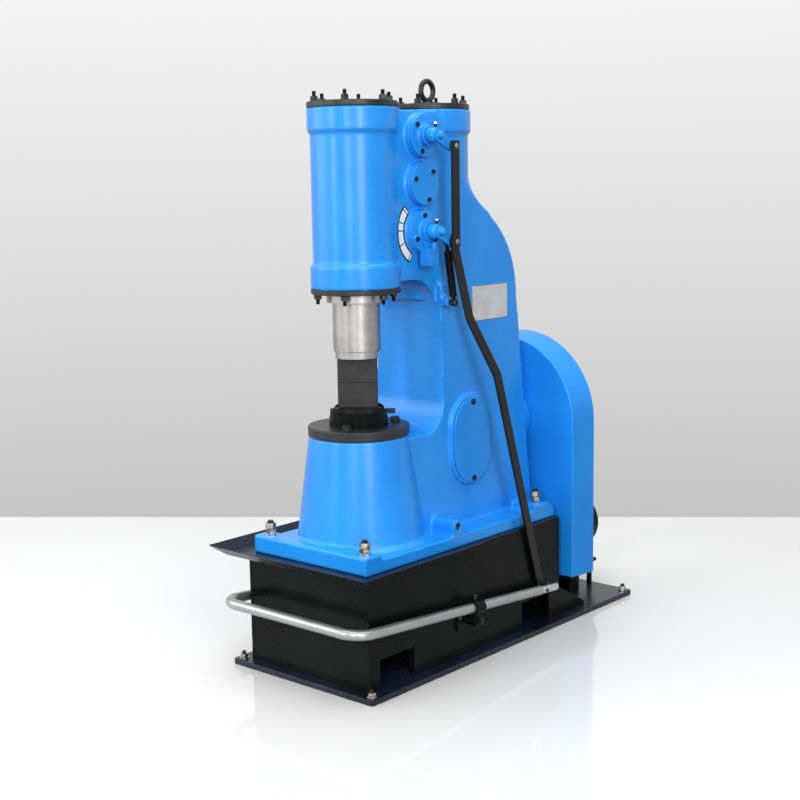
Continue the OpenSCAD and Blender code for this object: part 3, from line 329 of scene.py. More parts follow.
def floor_finish(f):
    """A white floor with a faint mirror image; it is dim to other light, so that it throws little upwards."""
    def fill(tree, shader, at):
        patch = add(tree, "TexNoise", {"Vector": at, "Scale": 1 / 0.6, "Detail": 2.0}).outputs[0]
        tone = add(tree, "Mix", {0: patch, 6: linear("#CBCBCB"), 7: linear(f.floor)}, data_type="RGBA")
        tree.links.new(tone.outputs[2], shader.inputs["Base Color"])
        shader.inputs["Roughness"].default_value = 0.08
        shader.inputs["Specular IOR Level"].default_value = 0.6
        dim = add(tree, "BsdfDiffuse", {"Color": linear("#383838")}).outputs[0]
        both = add(tree, "MixShader", {0: looked_at(tree), 1: dim, 2: shader.outputs[0]}).outputs[0]
        tree.links.new(both, tree.nodes["Material Output"].inputs["Surface"])
    return finish_of("pale_polished_floor", fill)


# Mesh helpers

def welded(node):
    """A mesh of that CAD node with shared corners joined and flat areas merged."""
    bm = bmesh.new()
    bm.from_mesh(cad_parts[node].data)
    bmesh.ops.remove_doubles(bm, verts=bm.verts, dist=2e-6)
    bmesh.ops.dissolve_limit(bm, angle_limit=math.radians(0.3), verts=bm.verts, edges=bm.edges)
    return bm


def ease(bm, width, segments=2, least=30):
    """Rounds every edge sharper than least degrees."""
    sharp = [e for e in bm.edges if len(e.link_faces) == 2 and e.calc_face_angle(0) > math.radians(least)]
    bmesh.ops.bevel(bm, geom=sharp, offset=width, offset_type="OFFSET", segments=segments, profile=0.5,
                    affect="EDGES", clamp_overlap=True)
    return bm


def arc(y, z, radius, first, last, steps):
    """Points along a circle, from a first to a last angle in degrees."""
    turns = [math.radians(first + (last - first) * i / steps) for i in range(steps + 1)]
    return [(y + radius * math.cos(t), z + radius * math.sin(t)) for t in turns]


def prism(bm, outline, back, front):
    """A plate parallel to the YZ plane, from its outline of (y, z) points. Returns its front face."""
    low = [bm.verts.new((back, y, z)) for y, z in outline]
    top = [bm.verts.new((front, y, z)) for y, z in outline]
    bm.faces.new(low[::-1])
    for i in range(len(outline)):
        j = (i + 1) % len(outline)
        bm.faces.new((low[i], low[j], top[j], top[i]))
    return bm.faces.new(top)


def settle(name, bm, materials, body, nodes=(), origin=None, crease=38):
    """Turns a mesh into a piece that rides on a body and stands for CAD nodes."""
    mesh = bpy.data.meshes.new(name)
    bmesh.ops.recalc_face_normals(bm, faces=bm.faces)
    bm.to_mesh(mesh)
    bm.free()
    mesh.polygons.foreach_set("use_smooth", [True] * len(mesh.polygons))
    mesh.set_sharp_from_angle(angle=math.radians(crease))
    for material in materials if isinstance(materials, list) else [materials]:
        mesh.materials.append(material)
    piece = bpy.data.objects.new(name, mesh)
    bpy.context.scene.collection.objects.link(piece)
    if origin is not None:
        mesh.transform(origin.inverted())
        piece.matrix_world = origin
    piece.modifiers.new("weighted", "WEIGHTED_NORMAL").keep_sharp = True
    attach(piece, body)
    if nodes:
        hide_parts(*nodes)


def dress(node, edge, material, body="frame", segments=2, origin=None):
    """Gives a CAD node rounded edges and a finish, as the piece that stands for it."""
    settle(node + "_finish", ease(welded(node), edge, segments), material, body, [node], origin)


def spot(x, y, z, facing="Z"):
    """A place whose Z axis points along facing: X, -X, Y, Z or -Z."""
    turns = {"Z": (0, "X"), "-Z": (180, "X"), "X": (90, "Y"), "-X": (-90, "Y"), "Y": (-90, "X")}
    angle, axis = turns[facing]
    return Matrix.Translation((x, y, z)) @ Matrix.Rotation(math.radians(angle), 4, axis)


def raised(place, height, turn=0.0):
    """A place further along its own Z axis and turned about it, in radians."""
    return place @ Matrix.Translation((0, 0, height)) @ Matrix.Rotation(turn, 4, "Z")


def ring_spots(y, z, radius, start, count, facing="Z"):
    """Places evenly round a vertical axis, each turned about itself as hand-tightened nuts are."""
    turns = [math.radians(start + 360 * i / count) for i in range(count)]
    return [raised(spot(radius * math.cos(t), y + radius * math.sin(t), z, facing), 0, 0.4 + 1.1 * i)
            for i, t in enumerate(turns)]


def flats(angle):
    """How far a hexagon of unit flats reaches at an angle in degrees, with corners at 30, 90 and so on."""
    return 1 / math.cos(math.radians((angle + 30) % 60 - 30))


def spun(bm, place, rows, count=36, closed=False):
    """Adds a skin of rings about the place's Z axis. A row is radius, height and, for a hexagon, its slope
    per unit that its corners reach past the flats. A radius of 0 closes an end, and closed joins the last row
    to the first."""
    made = []
    for row in rows:
        radius, height, slope = row if len(row) == 3 else (row[0], row[1], None)
        ring = []
        for i in range(count if radius > 0 else 1):
            angle = 360 * i / count
            reach = radius if slope is None else radius * flats(angle)
            rise = 0 if slope is None else slope * (reach - radius)
            turn = math.radians(angle)
            corner = Vector((reach * math.cos(turn), reach * math.sin(turn), height + rise))
            ring.append(bm.verts.new(place @ corner))
        made.append(ring)
    pairs = zip(made, made[1:] + made[:1]) if closed else zip(made, made[1:])
    for low, high in pairs:
        for i in range(count):
            j = (i + 1) % count
            corners = [low[i % len(low)], low[j % len(low)], high[j % len(high)], high[i % len(high)]]
            bm.faces.new(list(dict.fromkeys(corners)))


def lathe(bm, place, rows, count, closed=False):
    """The same for a round profile of radius and height in mm."""
    spun(bm, place, [(radius * MM, height * MM) for radius, height in rows], count, closed)


def nut(bm, place, across, height, bore):
    """A hexagon nut with both faces chamfered."""
    flat, rim = across / 2, across / 2 * 0.96
    spun(bm, place, [(bore, 0.0006), (bore + 0.0006, 0), (rim, 0), (flat, 0.0003, 0.58),
                     (flat, height - 0.0003, -0.58), (rim, height), (bore + 0.0008, height),
                     (bore, height - 0.0008)], closed=True)


def washer(bm, place, radius, bore, thick):
    """A flat washer with eased rims."""
    soft = 0.25 * thick
    spun(bm, place, [(bore, 0), (radius - soft, 0), (radius, soft), (radius, thick - soft),
                     (radius - soft, thick), (bore, thick)], closed=True)


def stud(bm, place, radius, start, end, pitch=0.0016):
    """A threaded stud end with a chamfered tip, its thread as fine rings."""
    rows = [(0, start), (radius - 0.08 * radius, start)]
    turns = max(1, int((end - start - 0.0015) / pitch))
    for i in range(turns):
        low = start + i * pitch
        rows += [(radius, low + 0.35 * pitch), (radius - 0.5 * pitch, low + 0.85 * pitch)]
    rows += [(radius * 0.98, end - 0.0014), (radius * 0.78, end), (0, end)]
    spun(bm, place, rows, 24)


def hex_head(bm, place, across, height):
    """A hexagon bolt head on its washer face."""
    flat, rim = across / 2, across / 2 * 0.96
    spun(bm, place, [(0, -0.001), (rim * 0.97, -0.001), (rim * 0.97, 0.0008), (flat, 0.0008, 0.0),
                     (flat, height - 0.0003, -0.58), (rim, height), (0, height)])


def cap_screw(bm, place, radius, height):
    """A socket cap screw with a hexagon recess."""
    key = 0.46 * radius
    spun(bm, place, [(0, -0.001), (radius, -0.001), (radius, height - 0.0008), (radius - 0.0008, height),
                     (key * 1.22, height), (key, height - 0.0006, 0.0), (key, height * 0.35, 0.0),
                     (0, height * 0.3)])


def disc(bm, place, radius, low, high):
    """A plain round plug for closing a hole."""
    spun(bm, place, [(0, low), (radius, low), (radius, high), (0, high)], 32)


def pipe(bm, path, outer, inner, count=40):
    """A pipe bent along a level path of (x, y) points, with open ends."""
    outside, inside = [], []
    turns = [2 * math.pi * k / count for k in range(count)]
    for i, (x, y) in enumerate(path):
        (x0, y0), (x1, y1) = path[max(i - 1, 0)], path[min(i + 1, len(path) - 1)]
        across = Vector((y1 - y0, x0 - x1, 0)).normalized()
        for radius, rings in ((outer, outside), (inner, inside)):
            rings.append([bm.verts.new(Vector((x, y, radius * math.sin(t))) + radius * math.cos(t) * across)
                          for t in turns])
    rings = outside + inside[::-1]
    for low, high in zip(rings, rings[1:] + rings[:1]):
        for k in range(count):
            bm.faces.new((low[k], low[k - 1], high[k - 1], high[k]))


def boss(bm, place, radius, rise, rim, blend):
    """A cast boss: a rounded rim, a straight flank and a hollow blend into the wall it stands on."""
    turns = [math.radians(15 * i) for i in range(7)]
    rows = [(0, rise)] + [(radius - rim + rim * math.sin(t), rise - rim + rim * math.cos(t)) for t in turns]
    rows += [(radius + blend - blend * math.cos(t), blend - blend * math.sin(t)) for t in turns]
    spun(bm, place, rows + [(radius + blend, -0.006), (0, -0.006)], 72)


def settings(context):
    """The sizes and the finishes that the sidebar shows."""
    return context.scene.hammer_sizes, context.scene.hammer_finishes


# Casting

def ramp(value, low, high):
    """0 below low, 1 above high and smooth between."""
    t = np.clip((value - low) / (high - low), 0, 1)
    return t * t * (3 - 2 * t)


def band(value, a, b, c, d):
    """1 from b to c, 0 below a and above d, and smooth between."""
    return ramp(value, a, b) * (1 - ramp(value, c, d))


def corners_of(mesh):
    """The corners of a mesh as rows of x, y and z."""
    co = np.empty(3 * len(mesh.vertices), np.float32)
    mesh.vertices.foreach_get("co", co)
    return co.reshape(-1, 3)


def move_corners(mesh, co):
    """Puts the corners of a mesh at these places."""
    mesh.vertices.foreach_set("co", co.astype(np.float32).ravel())
    mesh.update()


def soften(mesh, weight, rounds):
    """Moves each corner towards the mean of its neighbours, as much as weight says at its place."""
    co = corners_of(mesh).astype(float)
    count = len(co)
    ends = np.empty(2 * len(mesh.edges), np.int32)
    mesh.edges.foreach_get("vertices", ends)
    a, b = ends.reshape(-1, 2).T
    near = (np.bincount(a, minlength=count) + np.bincount(b, minlength=count))[:, None]
    share = weight(co)
    share[share < 0.0005] = 0
    used = np.maximum(share[a], share[b]) > 0
    inside, ends = np.unique(np.concatenate((a[used], b[used])), return_inverse=True)
    a, b = np.split(ends.ravel(), 2)
    part, share, near, size = co[inside], share[inside, None], near[inside], len(inside)
    for _ in range(rounds):
        total = np.stack([np.bincount(a, part[b, i], size) + np.bincount(b, part[a, i], size)
                          for i in range(3)], 1)
        part += share * (total / near - part)
    co[inside] = part
    move_corners(mesh, co)


def spread(mesh):
    """Lets the far edge of the throat stand a little wider, as the photographed casting's does."""
    co = corners_of(mesh)
    x, y, z = co.T
    throat = ramp(-x, 0.06, 0.1) * (1 - ramp(y, -0.12, 0.02)) * band(z, 0.58, 0.66, 0.91, 0.97)
    co[:, 0] -= 0.008 * throat
    move_corners(mesh, co)


def cast_weight(co):
    """How freely each place rounds: most at the column, least at throat, bosses and machined faces."""
    x, y, z = np.abs(co[:, 0]), co[:, 1], co[:, 2]
    front = np.hypot(x, y - HAMMER_Y)
    near_anvil = 1 - ramp(front, 0.165, 0.20)
    at_front = 1 - ramp(front, 0.118, 0.128)
    at_rear = 1 - ramp(np.hypot(x, y - COMPRESSOR_Y), 0.118, 0.128)
    throat = ramp(x, 0.07, 0.085) * (1 - ramp(y, -0.105, -0.085)) * band(z, 0.59, 0.62, 0.99, 1.02)
    lid = np.maximum(np.abs(y + 0.038) - 0.083, np.abs(z - 0.554) - 0.1215)
    cross = np.hypot(y - CROSS_Y, z - CROSS_Z)
    holds = [(0.035, throat),
             (0.05, near_anvil * band(z, 0.326, 0.334, 0.38, 0.44)),
             (0.03, near_anvil * band(z, 0.57, 0.59, 0.62, 0.66)),
             (0.05, at_front * ramp(z, 1.335, 1.35)),
             (0.05, at_front * band(z, 0.93, 0.95, 1.045, 1.06)),
             (0.05, at_rear * ramp(z, 1.335, 1.35)),
             (0.09, (1 - ramp(lid, 0.006, 0.02)) * ramp(x, 0.1, 0.108)),
             (0.02, (1 - ramp(cross, 0.02, 0.03)) * ramp(x, 0.17, 0.18))]
    for valve in VALVE_Z:
        off = np.hypot(y - VALVE_Y, z - valve)
        holds.append((0.04, (1 - ramp(off, 0.058, 0.066)) * ramp(x, 0.088, 0.094)))
    share = 0.12 + 0.08 * ramp(z, 0.352, 0.40)
    for limit, where in holds:
        share = np.minimum(share, 1 - (1 - limit) * where)
    return share


def blend_weight(co):
    """The hollow blends where the web runs into both cylinders and their collars."""
    x, y, z = np.abs(co[:, 0]), co[:, 1], co[:, 2]
    hollows = band(y, -0.345, -0.32, -0.275, -0.255) + band(y, -0.145, -0.125, -0.08, -0.055)
    share = hollows * ramp(x, 0.06, 0.075) * band(z, 1.042, 1.07, 1.328, 1.352)
    collars = band(y, -0.145, -0.13, -0.115, -0.105) + 0.4 * band(y, -0.3, -0.29, -0.27, -0.26)
    share = np.maximum(share, 0.5 * collars * ramp(x, 0.07, 0.08) * band(z, 1.33, 1.345, 1.4, 1.41))
    near = np.min([np.hypot(y - VALVE_Y, z - valve) for valve in VALVE_Z], 0)
    return 0.5 * share * ramp(near, 0.062, 0.075)


def shoulder_weight(co):
    """The long slope where the web runs out into the wider column below it."""
    x, y, z = np.abs(co[:, 0]), co[:, 1], co[:, 2]
    share = band(y, -0.18, -0.15, -0.04, 0.0) * ramp(x, 0.075, 0.085) * band(z, 0.965, 1.0, 1.2, 1.25)
    return 0.5 * share * ramp(np.hypot(y - VALVE_Y, z - VALVE_Z[0]), 0.062, 0.075)


def thinned(mesh, tile):
    """Merges the flat cells of a skin within tiles of that size, and takes the mesh away."""
    off_the_faces = 0.0117
    centre = np.empty(3 * len(mesh.polygons), np.float32)
    mesh.polygons.foreach_get("center", centre)
    cells = np.floor((centre.reshape(-1, 3) + off_the_faces) / tile).astype(int).sum(1) % 2
    mesh.polygons.foreach_set("material_index", cells.astype(np.int32))
    bm = bmesh.new()
    bm.from_mesh(mesh)
    bpy.data.meshes.remove(mesh)
    bmesh.ops.dissolve_limit(bm, angle_limit=math.radians(0.6), verts=bm.verts, edges=bm.edges,
                             delimit={"MATERIAL"})
    bmesh.ops.triangulate(bm, faces=[f for f in bm.faces if len(f.verts) > 4])
    for face in bm.faces:
        face.material_index = 0
    return bm


class HAMMER_OT_casting(bpy.types.Operator):
    """Casts the frame with the rounded edges and blended corners of a sand casting, and its round bosses"""
    bl_idname = "hammer.casting"
    bl_label = "Frame casting"

    def execute(self, context):
        sizes, finishes = settings(context)
        bm = welded("frame_casting")
        disc(bm, spot(0, HAMMER_Y, 0), 0.09, 0.99, 1.41)
        for z in (VALVE_Z[0], VALVE_Z[2]):
            disc(bm, spot(0, VALVE_Y, z, "X"), 0.02, 0.05, 0.1)
        rough = bpy.data.meshes.new("rough_casting")
        bmesh.ops.recalc_face_normals(bm, faces=bm.faces)
        bm.to_mesh(rough)
        bm.free()
        body = bpy.data.objects.new("rough_casting", rough)
        context.scene.collection.objects.link(body)
        step = body.modifiers.new("skin", "REMESH")
        step.mode, step.voxel_size = "VOXEL", sizes.voxel
        skin = bpy.data.meshes.new_from_object(body.evaluated_get(context.evaluated_depsgraph_get()))
        bpy.data.meshes.remove(rough)
        soften(skin, cast_weight, sizes.rounds)
        soften(skin, blend_weight, sizes.blends)
        soften(skin, shoulder_weight, sizes.shoulder)
        spread(skin)
        enamel = cast_enamel(finishes)
        settle("cast_frame", thinned(skin, sizes.tile), enamel, "frame", ["frame_casting"],
               crease=50)
        bosses, bores = bmesh.new(), bmesh.new()
        for side, sign in SIDES:
            for z in VALVE_Z:
                boss(bosses, spot(WEB_X * sign, VALVE_Y, z, side), 0.0542, 0.0141, 0.0022, 0.009)
            cross = spot(0, CROSS_Y, CROSS_Z, side)
            lathe(bosses, cross, [(9.3, 186), (18.5, 186), (18.5, 194.2), (17.3, 195.5), (10.3, 195.5),
                                  (9.3, 194.5)], 40, closed=True)
            lathe(bores, cross, [(0, 150), (9.8, 150), (9.8, 193.5), (9.1, 194), (9.1, 153), (0, 153)], 32)
        boss(bosses, spot(0.112, SPRING_Y, SPRING_Z, "X"), 0.0112, 0.0162, 0.003, 0.003)
        settle("cast_bosses", bosses, enamel, "frame")
        settle("cross_boss_bores", bores, bore_iron(finishes), "frame")
        return {"FINISHED"}


# Covers, guard, stand

class HAMMER_OT_covers(bpy.types.Operator):
    """Fits the painted valve and inspection covers with their hubs, pads and screws"""
    bl_idname = "hammer.covers"
    bl_label = "Valve and inspection covers"

    def execute(self, context):
        sizes, finishes = settings(context)
        enamel = sheet_enamel(finishes)
        for node in ("upper_valve_cover", "middle_valve_cover", "left_valve_covers"):
            dress(node, sizes.cover_edge, enamel, segments=3)
        lower = bmesh.new()
        prism(lower, [(-0.2166, 1.0255), (-0.1804, 1.0255), (-0.1804, 1.068), (-0.2166, 1.068)], 0.105, 0.138)
        ease(lower, 0.0024, 3)
        lathe(lower, spot(0, VALVE_Y, VALVE_Z[0], "X"),
              [(0, 104), (53, 104), (53, 110.6), (52.6, 111.6), (51.6, 112), (25, 112), (25, 127.5),
               (24.5, 128), (0, 128)], 72)
        settle("lower_valve_cover_finish", lower, enamel, "frame", ["lower_valve_cover"])
        screws, pads = bmesh.new(), bmesh.new()
        for z, angles in zip(VALVE_Z, ((100, 206, 330), (47, 162, 285), (139, 250, 20))):
            for angle in angles:
                turn = math.radians(angle)
                place = (VALVE_Y + sizes.screw_ring * math.cos(turn), z + sizes.screw_ring * math.sin(turn))
                for side, sign in SIDES:
                    lathe(pads, spot(0.111 * sign, *place, side),
                          [(0, 0), (9.8, 0), (9.4, 1.8), (8.4, 2.8), (0, 2.8)], 28)
                    cap_screw(screws, spot(0.1138 * sign, *place, side), sizes.screw_head, 0.0045)
        for z in (VALVE_Z[0], VALVE_Z[2]):
            lathe(pads, spot(0, VALVE_Y, z, "X"),
                  [(20, 110.5), (34.5, 110.5), (34.5, 112.1), (30.5, 112.8), (27.8, 114.6), (26.2, 117.5),
                   (25.5, 122), (25.5, 126.5), (24.5, 127.5), (20, 127.5)], 48, closed=True)
        plug = spot(PLUG_X, PLUG_Y, 1.0675)
        lathe(pads, plug, [(0, 0), (10.2, 0), (10.2, 3.5), (9.2, 4.5), (0, 4.5)], 36)
        hex_head(pads, raised(plug, 0.005), 0.0178, 0.0085)
        lathe(pads, raised(plug, 0.013), [(0, 0), (6.8, 0), (6.8, 2.8), (5.8, 3.8), (0, 3.8)], 28)
        flare = bmesh.new()
        outline = arc(VALVE_Y, VALVE_Z[0], 0.0268, 10, 170, 10)
        prism(flare, outline + [(-0.2156, 1.066), (-0.2, 1.066)], 0.109, 0.1225)
        settle("outlet_flare", ease(flare, 0.0025, 3, 60), enamel, "frame")
        settle("valve_cover_hubs_and_pads", pads, enamel, "frame")
        for node, (side, sign) in zip(("inspection_cover", "left_inspection_cover"), SIDES):
            dress(node, sizes.lid_edge, enamel, segments=3)
            for y, z in ((-0.037, 0.656), (-0.036, 0.450)):
                place = spot(0.131 * sign, y, z, side)
                washer(screws, place, 0.0085, 0.004, 0.0014)
                cap_screw(screws, place, sizes.screw_head, 0.005)
        settle("cover_screws", screws, black_pressed(finishes), "frame")
        return {"FINISHED"}


class HAMMER_OT_guard(bpy.types.Operator):
    """Fits the arched sheet belt guard"""
    bl_idname = "hammer.guard"
    bl_label = "Belt guard"

    def execute(self, context):
        sizes, finishes = settings(context)
        dress("belt_guard", sizes.sheet_edge, sheet_enamel(finishes), segments=3)
        return {"FINISHED"}


class HAMMER_OT_stand(bpy.types.Operator):
    """Fits the painted plates of the stand, its base plate and the drip tray"""
    bl_idname = "hammer.stand"
    bl_label = "Stand and tray"

    def execute(self, context):
        sizes, finishes = settings(context)
        for node in ("stand_front_wall", "stand_rear_wall", "stand_left_wall", "stand_right_wall",
                     "stand_top_plate", "motor_pedestal", "motor_plate", "left_treadle_bracket",
                     "right_treadle_bracket"):
            dress(node, sizes.plate_edge, plate_paint(finishes))
        for node, edge in (("base_plate", sizes.plate_edge), ("drip_tray", sizes.tray_edge)):
            dress(node, edge, base_paint(finishes))
        return {"FINISHED"}


class HAMMER_OT_head(bpy.types.Operator):
    """Fits the turned covers, lifting eye, gland ring, bush, anvil plate and die holder"""
    bl_idname = "hammer.head"
    bl_label = "Turned parts"

    def execute(self, context):
        sizes, finishes = settings(context)
        black = black_turned(finishes)
        for node, y, metal, slot in (("front_cylinder_cover", HAMMER_Y, black, "black_oxide"),
                                     ("rear_cylinder_cover", COMPRESSOR_Y, black, "black_oxide"),
                                     ("gland_ring", HAMMER_Y, black, "black_oxide"),
                                     ("guide_bush", HAMMER_Y, ground_steel(finishes), "ground_steel"),
                                     ("anvil_plate", HAMMER_Y, black, "black_oxide"),
                                     ("die_holder", HAMMER_Y, plate_paint(finishes), "black_oxide")):
            dress(node, sizes.turned_edge, metal, origin=spot(0, y, 0))
        settle("lifting_eye_finish", welded("lifting_eye"), black_pressed(finishes), "frame", ["lifting_eye"],
               crease=60)
        return {"FINISHED"}


class HAMMER_OT_dies(bpy.types.Operator):
    """Fits the ram, the dies and the lower die's wedge key"""
    bl_idname = "hammer.dies"
    bl_label = "Ram and dies"

    def execute(self, context):
        sizes, finishes = settings(context)
        dress("ram", sizes.turned_edge, ground_steel(finishes), "ram",
              origin=spot(0, HAMMER_Y, 0))
        metal = die_metal(finishes)
        for node, body in (("upper_die", "ram"), ("lower_die", "frame")):
            dress(node, sizes.turned_edge, metal, body)
        bm = bmesh.new()
        low, high, wedge = 0.6483, 0.6615, 0.012
        prism(bm, [(0.0253, low), (0.0387, low), (0.0387, high), (0.0253, high)], -0.074, 0.093)
        for corner in bm.verts:
            if corner.co.z > (low + high) / 2:
                corner.co.z -= wedge * corner.co.x
        bm.transform(raised(spot(0, HAMMER_Y, 0), 0, math.radians(DIE_TURN)))
        settle("lower_die_key_finish", ease(bm, sizes.turned_edge), metal, "frame", ["lower_die_key"])
        return {"FINISHED"}


# Valve gear, treadle, motor

class HAMMER_OT_gear(bpy.types.Operator):
    """Fits the levers, link bar, pedal rod and return spring with their pins and oilers"""
    bl_idname = "hammer.gear"
    bl_label = "Valve gear"

    def execute(self, context):
        sizes, finishes = settings(context)
        for node in ("link_bar", "pedal_rod"):
            dress(node, sizes.bar_edge, bar_paint(finishes), node)
        black = black_pressed(finishes)
        arm_y, arm_z = LEVER_ARM
        hub_radius, eye_radius = 0.0165, 0.012
        slope = math.degrees(math.atan2(arm_z, arm_y))
        half = math.degrees(math.acos((hub_radius - eye_radius) / math.hypot(arm_y, arm_z)))
        for node, hub in (("lower_lever", VALVE_Z[0]), ("upper_lever", VALVE_Z[2])):
            eye_y, eye_z = VALVE_Y + arm_y, hub + arm_z
            outline = arc(eye_y, eye_z, eye_radius, slope + half, slope - half, 8)
            outline += arc(VALVE_Y, hub, hub_radius, slope - half, slope + half - 360, 12)
            bm = bmesh.new()
            prism(bm, outline, 0.15, 0.159)
            ease(bm, sizes.cover_edge, least=60)
            lathe(bm, spot(0, VALVE_Y, hub, "X"),
                  [(0, 129), (18.5, 129), (19.3, 129.8), (19.3, 146.5), (18.7, 148), (11.2, 159.2),
                   (10.2, 160), (9.2, 160.3), (8.9, 161), (8.9, 169.5), (7.8, 171.2), (6, 172),
                   (0, 172.2)], 48)
            settle(node + "_finish", bm, sheet_enamel(finishes), node, [node])
            oiler = spot(0.145, VALVE_Y + 0.002, hub + 0.018)
            fittings = (
                ("_pin", spot(0, eye_y, eye_z, "X"), pin_metal(finishes), "ground_steel",
                 [(0, 155), (6, 155), (6, 175.5), (7.2, 175.5), (7.2, 176.8), (5.6, 177.1), (5.4, 178.5),
                  (4.6, 179.6), (2.2, 179.8), (1.8, 179), (0, 178.9)]),
                ("_oiler_stem", oiler, black, "black_oxide",
                 [(0, 0), (3.2, 0), (3, 4), (6.2, 8.8), (6.2, 9.5), (0, 9.6)]),
                ("_oiler_cap", raised(oiler, 0.0088), zinc_pressed(finishes), "ground_steel",
                 [(0, 0), (6.6, 0), (7.2, 1.2), (6.9, 3.6), (5, 5.4), (0, 6)]))
            for ending, place, metal, slot, rows in fittings:
                bm = bmesh.new()
                lathe(bm, place, rows, 28)
                settle(node + ending, bm, metal, node)
        dress("spring_rod", sizes.pin_edge, plate_paint(finishes), "spring_rod")
        dress("spring_tube", sizes.bar_edge, plate_paint(finishes), "spring_tube")
        bm = ease(welded("spring_stud"), sizes.pin_edge)
        nut(bm, spot(0.1281, SPRING_Y, SPRING_Z, "X"), 0.013, 0.0045, 0.0035)
        settle("spring_stud_finish", bm, black, "frame", ["spring_stud"])
        bm = bmesh.new()
        lathe(bm, spot(0.141, SPRING_Y, SPRING_Z, "X"),
              [(0, -7.4), (5.8, -7.4), (8.8, -5.2), (10.1, -2), (10.1, 3.5), (9.2, 6.8), (6.6, 9.2),
               (0, 10.2)], 32)
        settle("spring_ball_socket", bm, black, "spring_rod")
        return {"FINISHED"}


class HAMMER_OT_treadle(bpy.types.Operator):
    """Fits the bent pipe treadle with its collars, screws and end plug"""
    bl_idname = "hammer.treadle"
    bl_label = "Treadle"

    def execute(self, context):
        sizes, finishes = settings(context)
        black, bright = black_pressed(finishes), zinc_pressed(finishes)
        bend, above_pivot = 0.055, 0.034
        left = arc(bend - TREADLE_X, TREADLE_FRONT + bend, bend, 180, 270, 12)
        right = [(-x, y) for x, y in left[::-1]]
        path = [(-TREADLE_X, 0.06), (-TREADLE_X, -0.1)] + left + [(0, TREADLE_FRONT)] + right
        path += [(TREADLE_X, 0), (TREADLE_X, 0.283)]
        bm = bmesh.new()
        pipe(bm, path, 0.01345, 0.01095)
        tilt = Matrix.Rotation(math.radians(TREADLE_TILT), 4, "X")
        bm.transform(raised(spot(0, PIVOT_Y, PIVOT_Z) @ tilt, above_pivot))
        settle("treadle_tube_finish", bm, pipe_zinc(finishes), "treadle", ["treadle_tube"])
        dress("treadle_end_plug", sizes.plate_edge, bright, "treadle")
        screws, nuts, bolts = bmesh.new(), bmesh.new(), bmesh.new()
        for node, (side, sign) in zip(("right_treadle_collar", "left_treadle_collar"), SIDES):
            dress(node, sizes.plate_edge, plate_paint(finishes), "treadle")
            lathe(screws, spot(TREADLE_X * sign, -0.1735, 0.162),
                  [(0, 0), (3.4, 0), (3.4, 13), (6.8, 13.3), (7.2, 14.5), (7.2, 16.5), (6.2, 17.8),
                   (0, 18)], 24)
            nut(nuts, spot(0.2515 * sign, PIVOT_Y, PIVOT_Z, side), 0.016, 0.007, 0.004)
            hex_head(bolts, spot(0.2155 * sign, -0.2075, 0.1195, side), 0.009, 0.004)
        cap_screw(screws, spot(0.2495, 0.134, 0.1195, "X"), 0.0048, 0.0035)
        nut(screws, spot(TREADLE_X, 0.155, 0.1305), 0.009, 0.005, 0.0024)
        settle("treadle_screws", screws, black, "treadle")
        settle("pivot_nuts", nuts, black, "frame")
        settle("bracket_bolts", bolts, bright, "frame")
        return {"FINISHED"}


class HAMMER_OT_motor(bpy.types.Operator):
    """Fits the finned motor and its fan cowl with a ringed grille"""
    bl_idname = "hammer.motor"
    bl_label = "Motor"

    def execute(self, context):
        sizes, finishes = settings(context)
        paint = plate_paint(finishes)
        dress("motor_body", sizes.fin_edge, paint)
        rows = [(0, 0), (83.5, 0), (85, 1.5), (85, 76), (83, 83), (78, 88), (72, 90)]
        for edge in (67, 56, 45, 34):
            rows += [(edge, 90), (edge - 1, 85), (edge - 6, 85), (edge - 7, 90)]
        rows += [(14, 90), (12, 92), (0, 92)]
        bm = bmesh.new()
        lathe(bm, spot(0, 0.563, 0.185, "Y"), rows, 72)
        settle("fan_cowl_finish", bm, paint, "frame", ["motor_fan_cowl"])
        return {"FINISHED"}


# Fasteners and plates

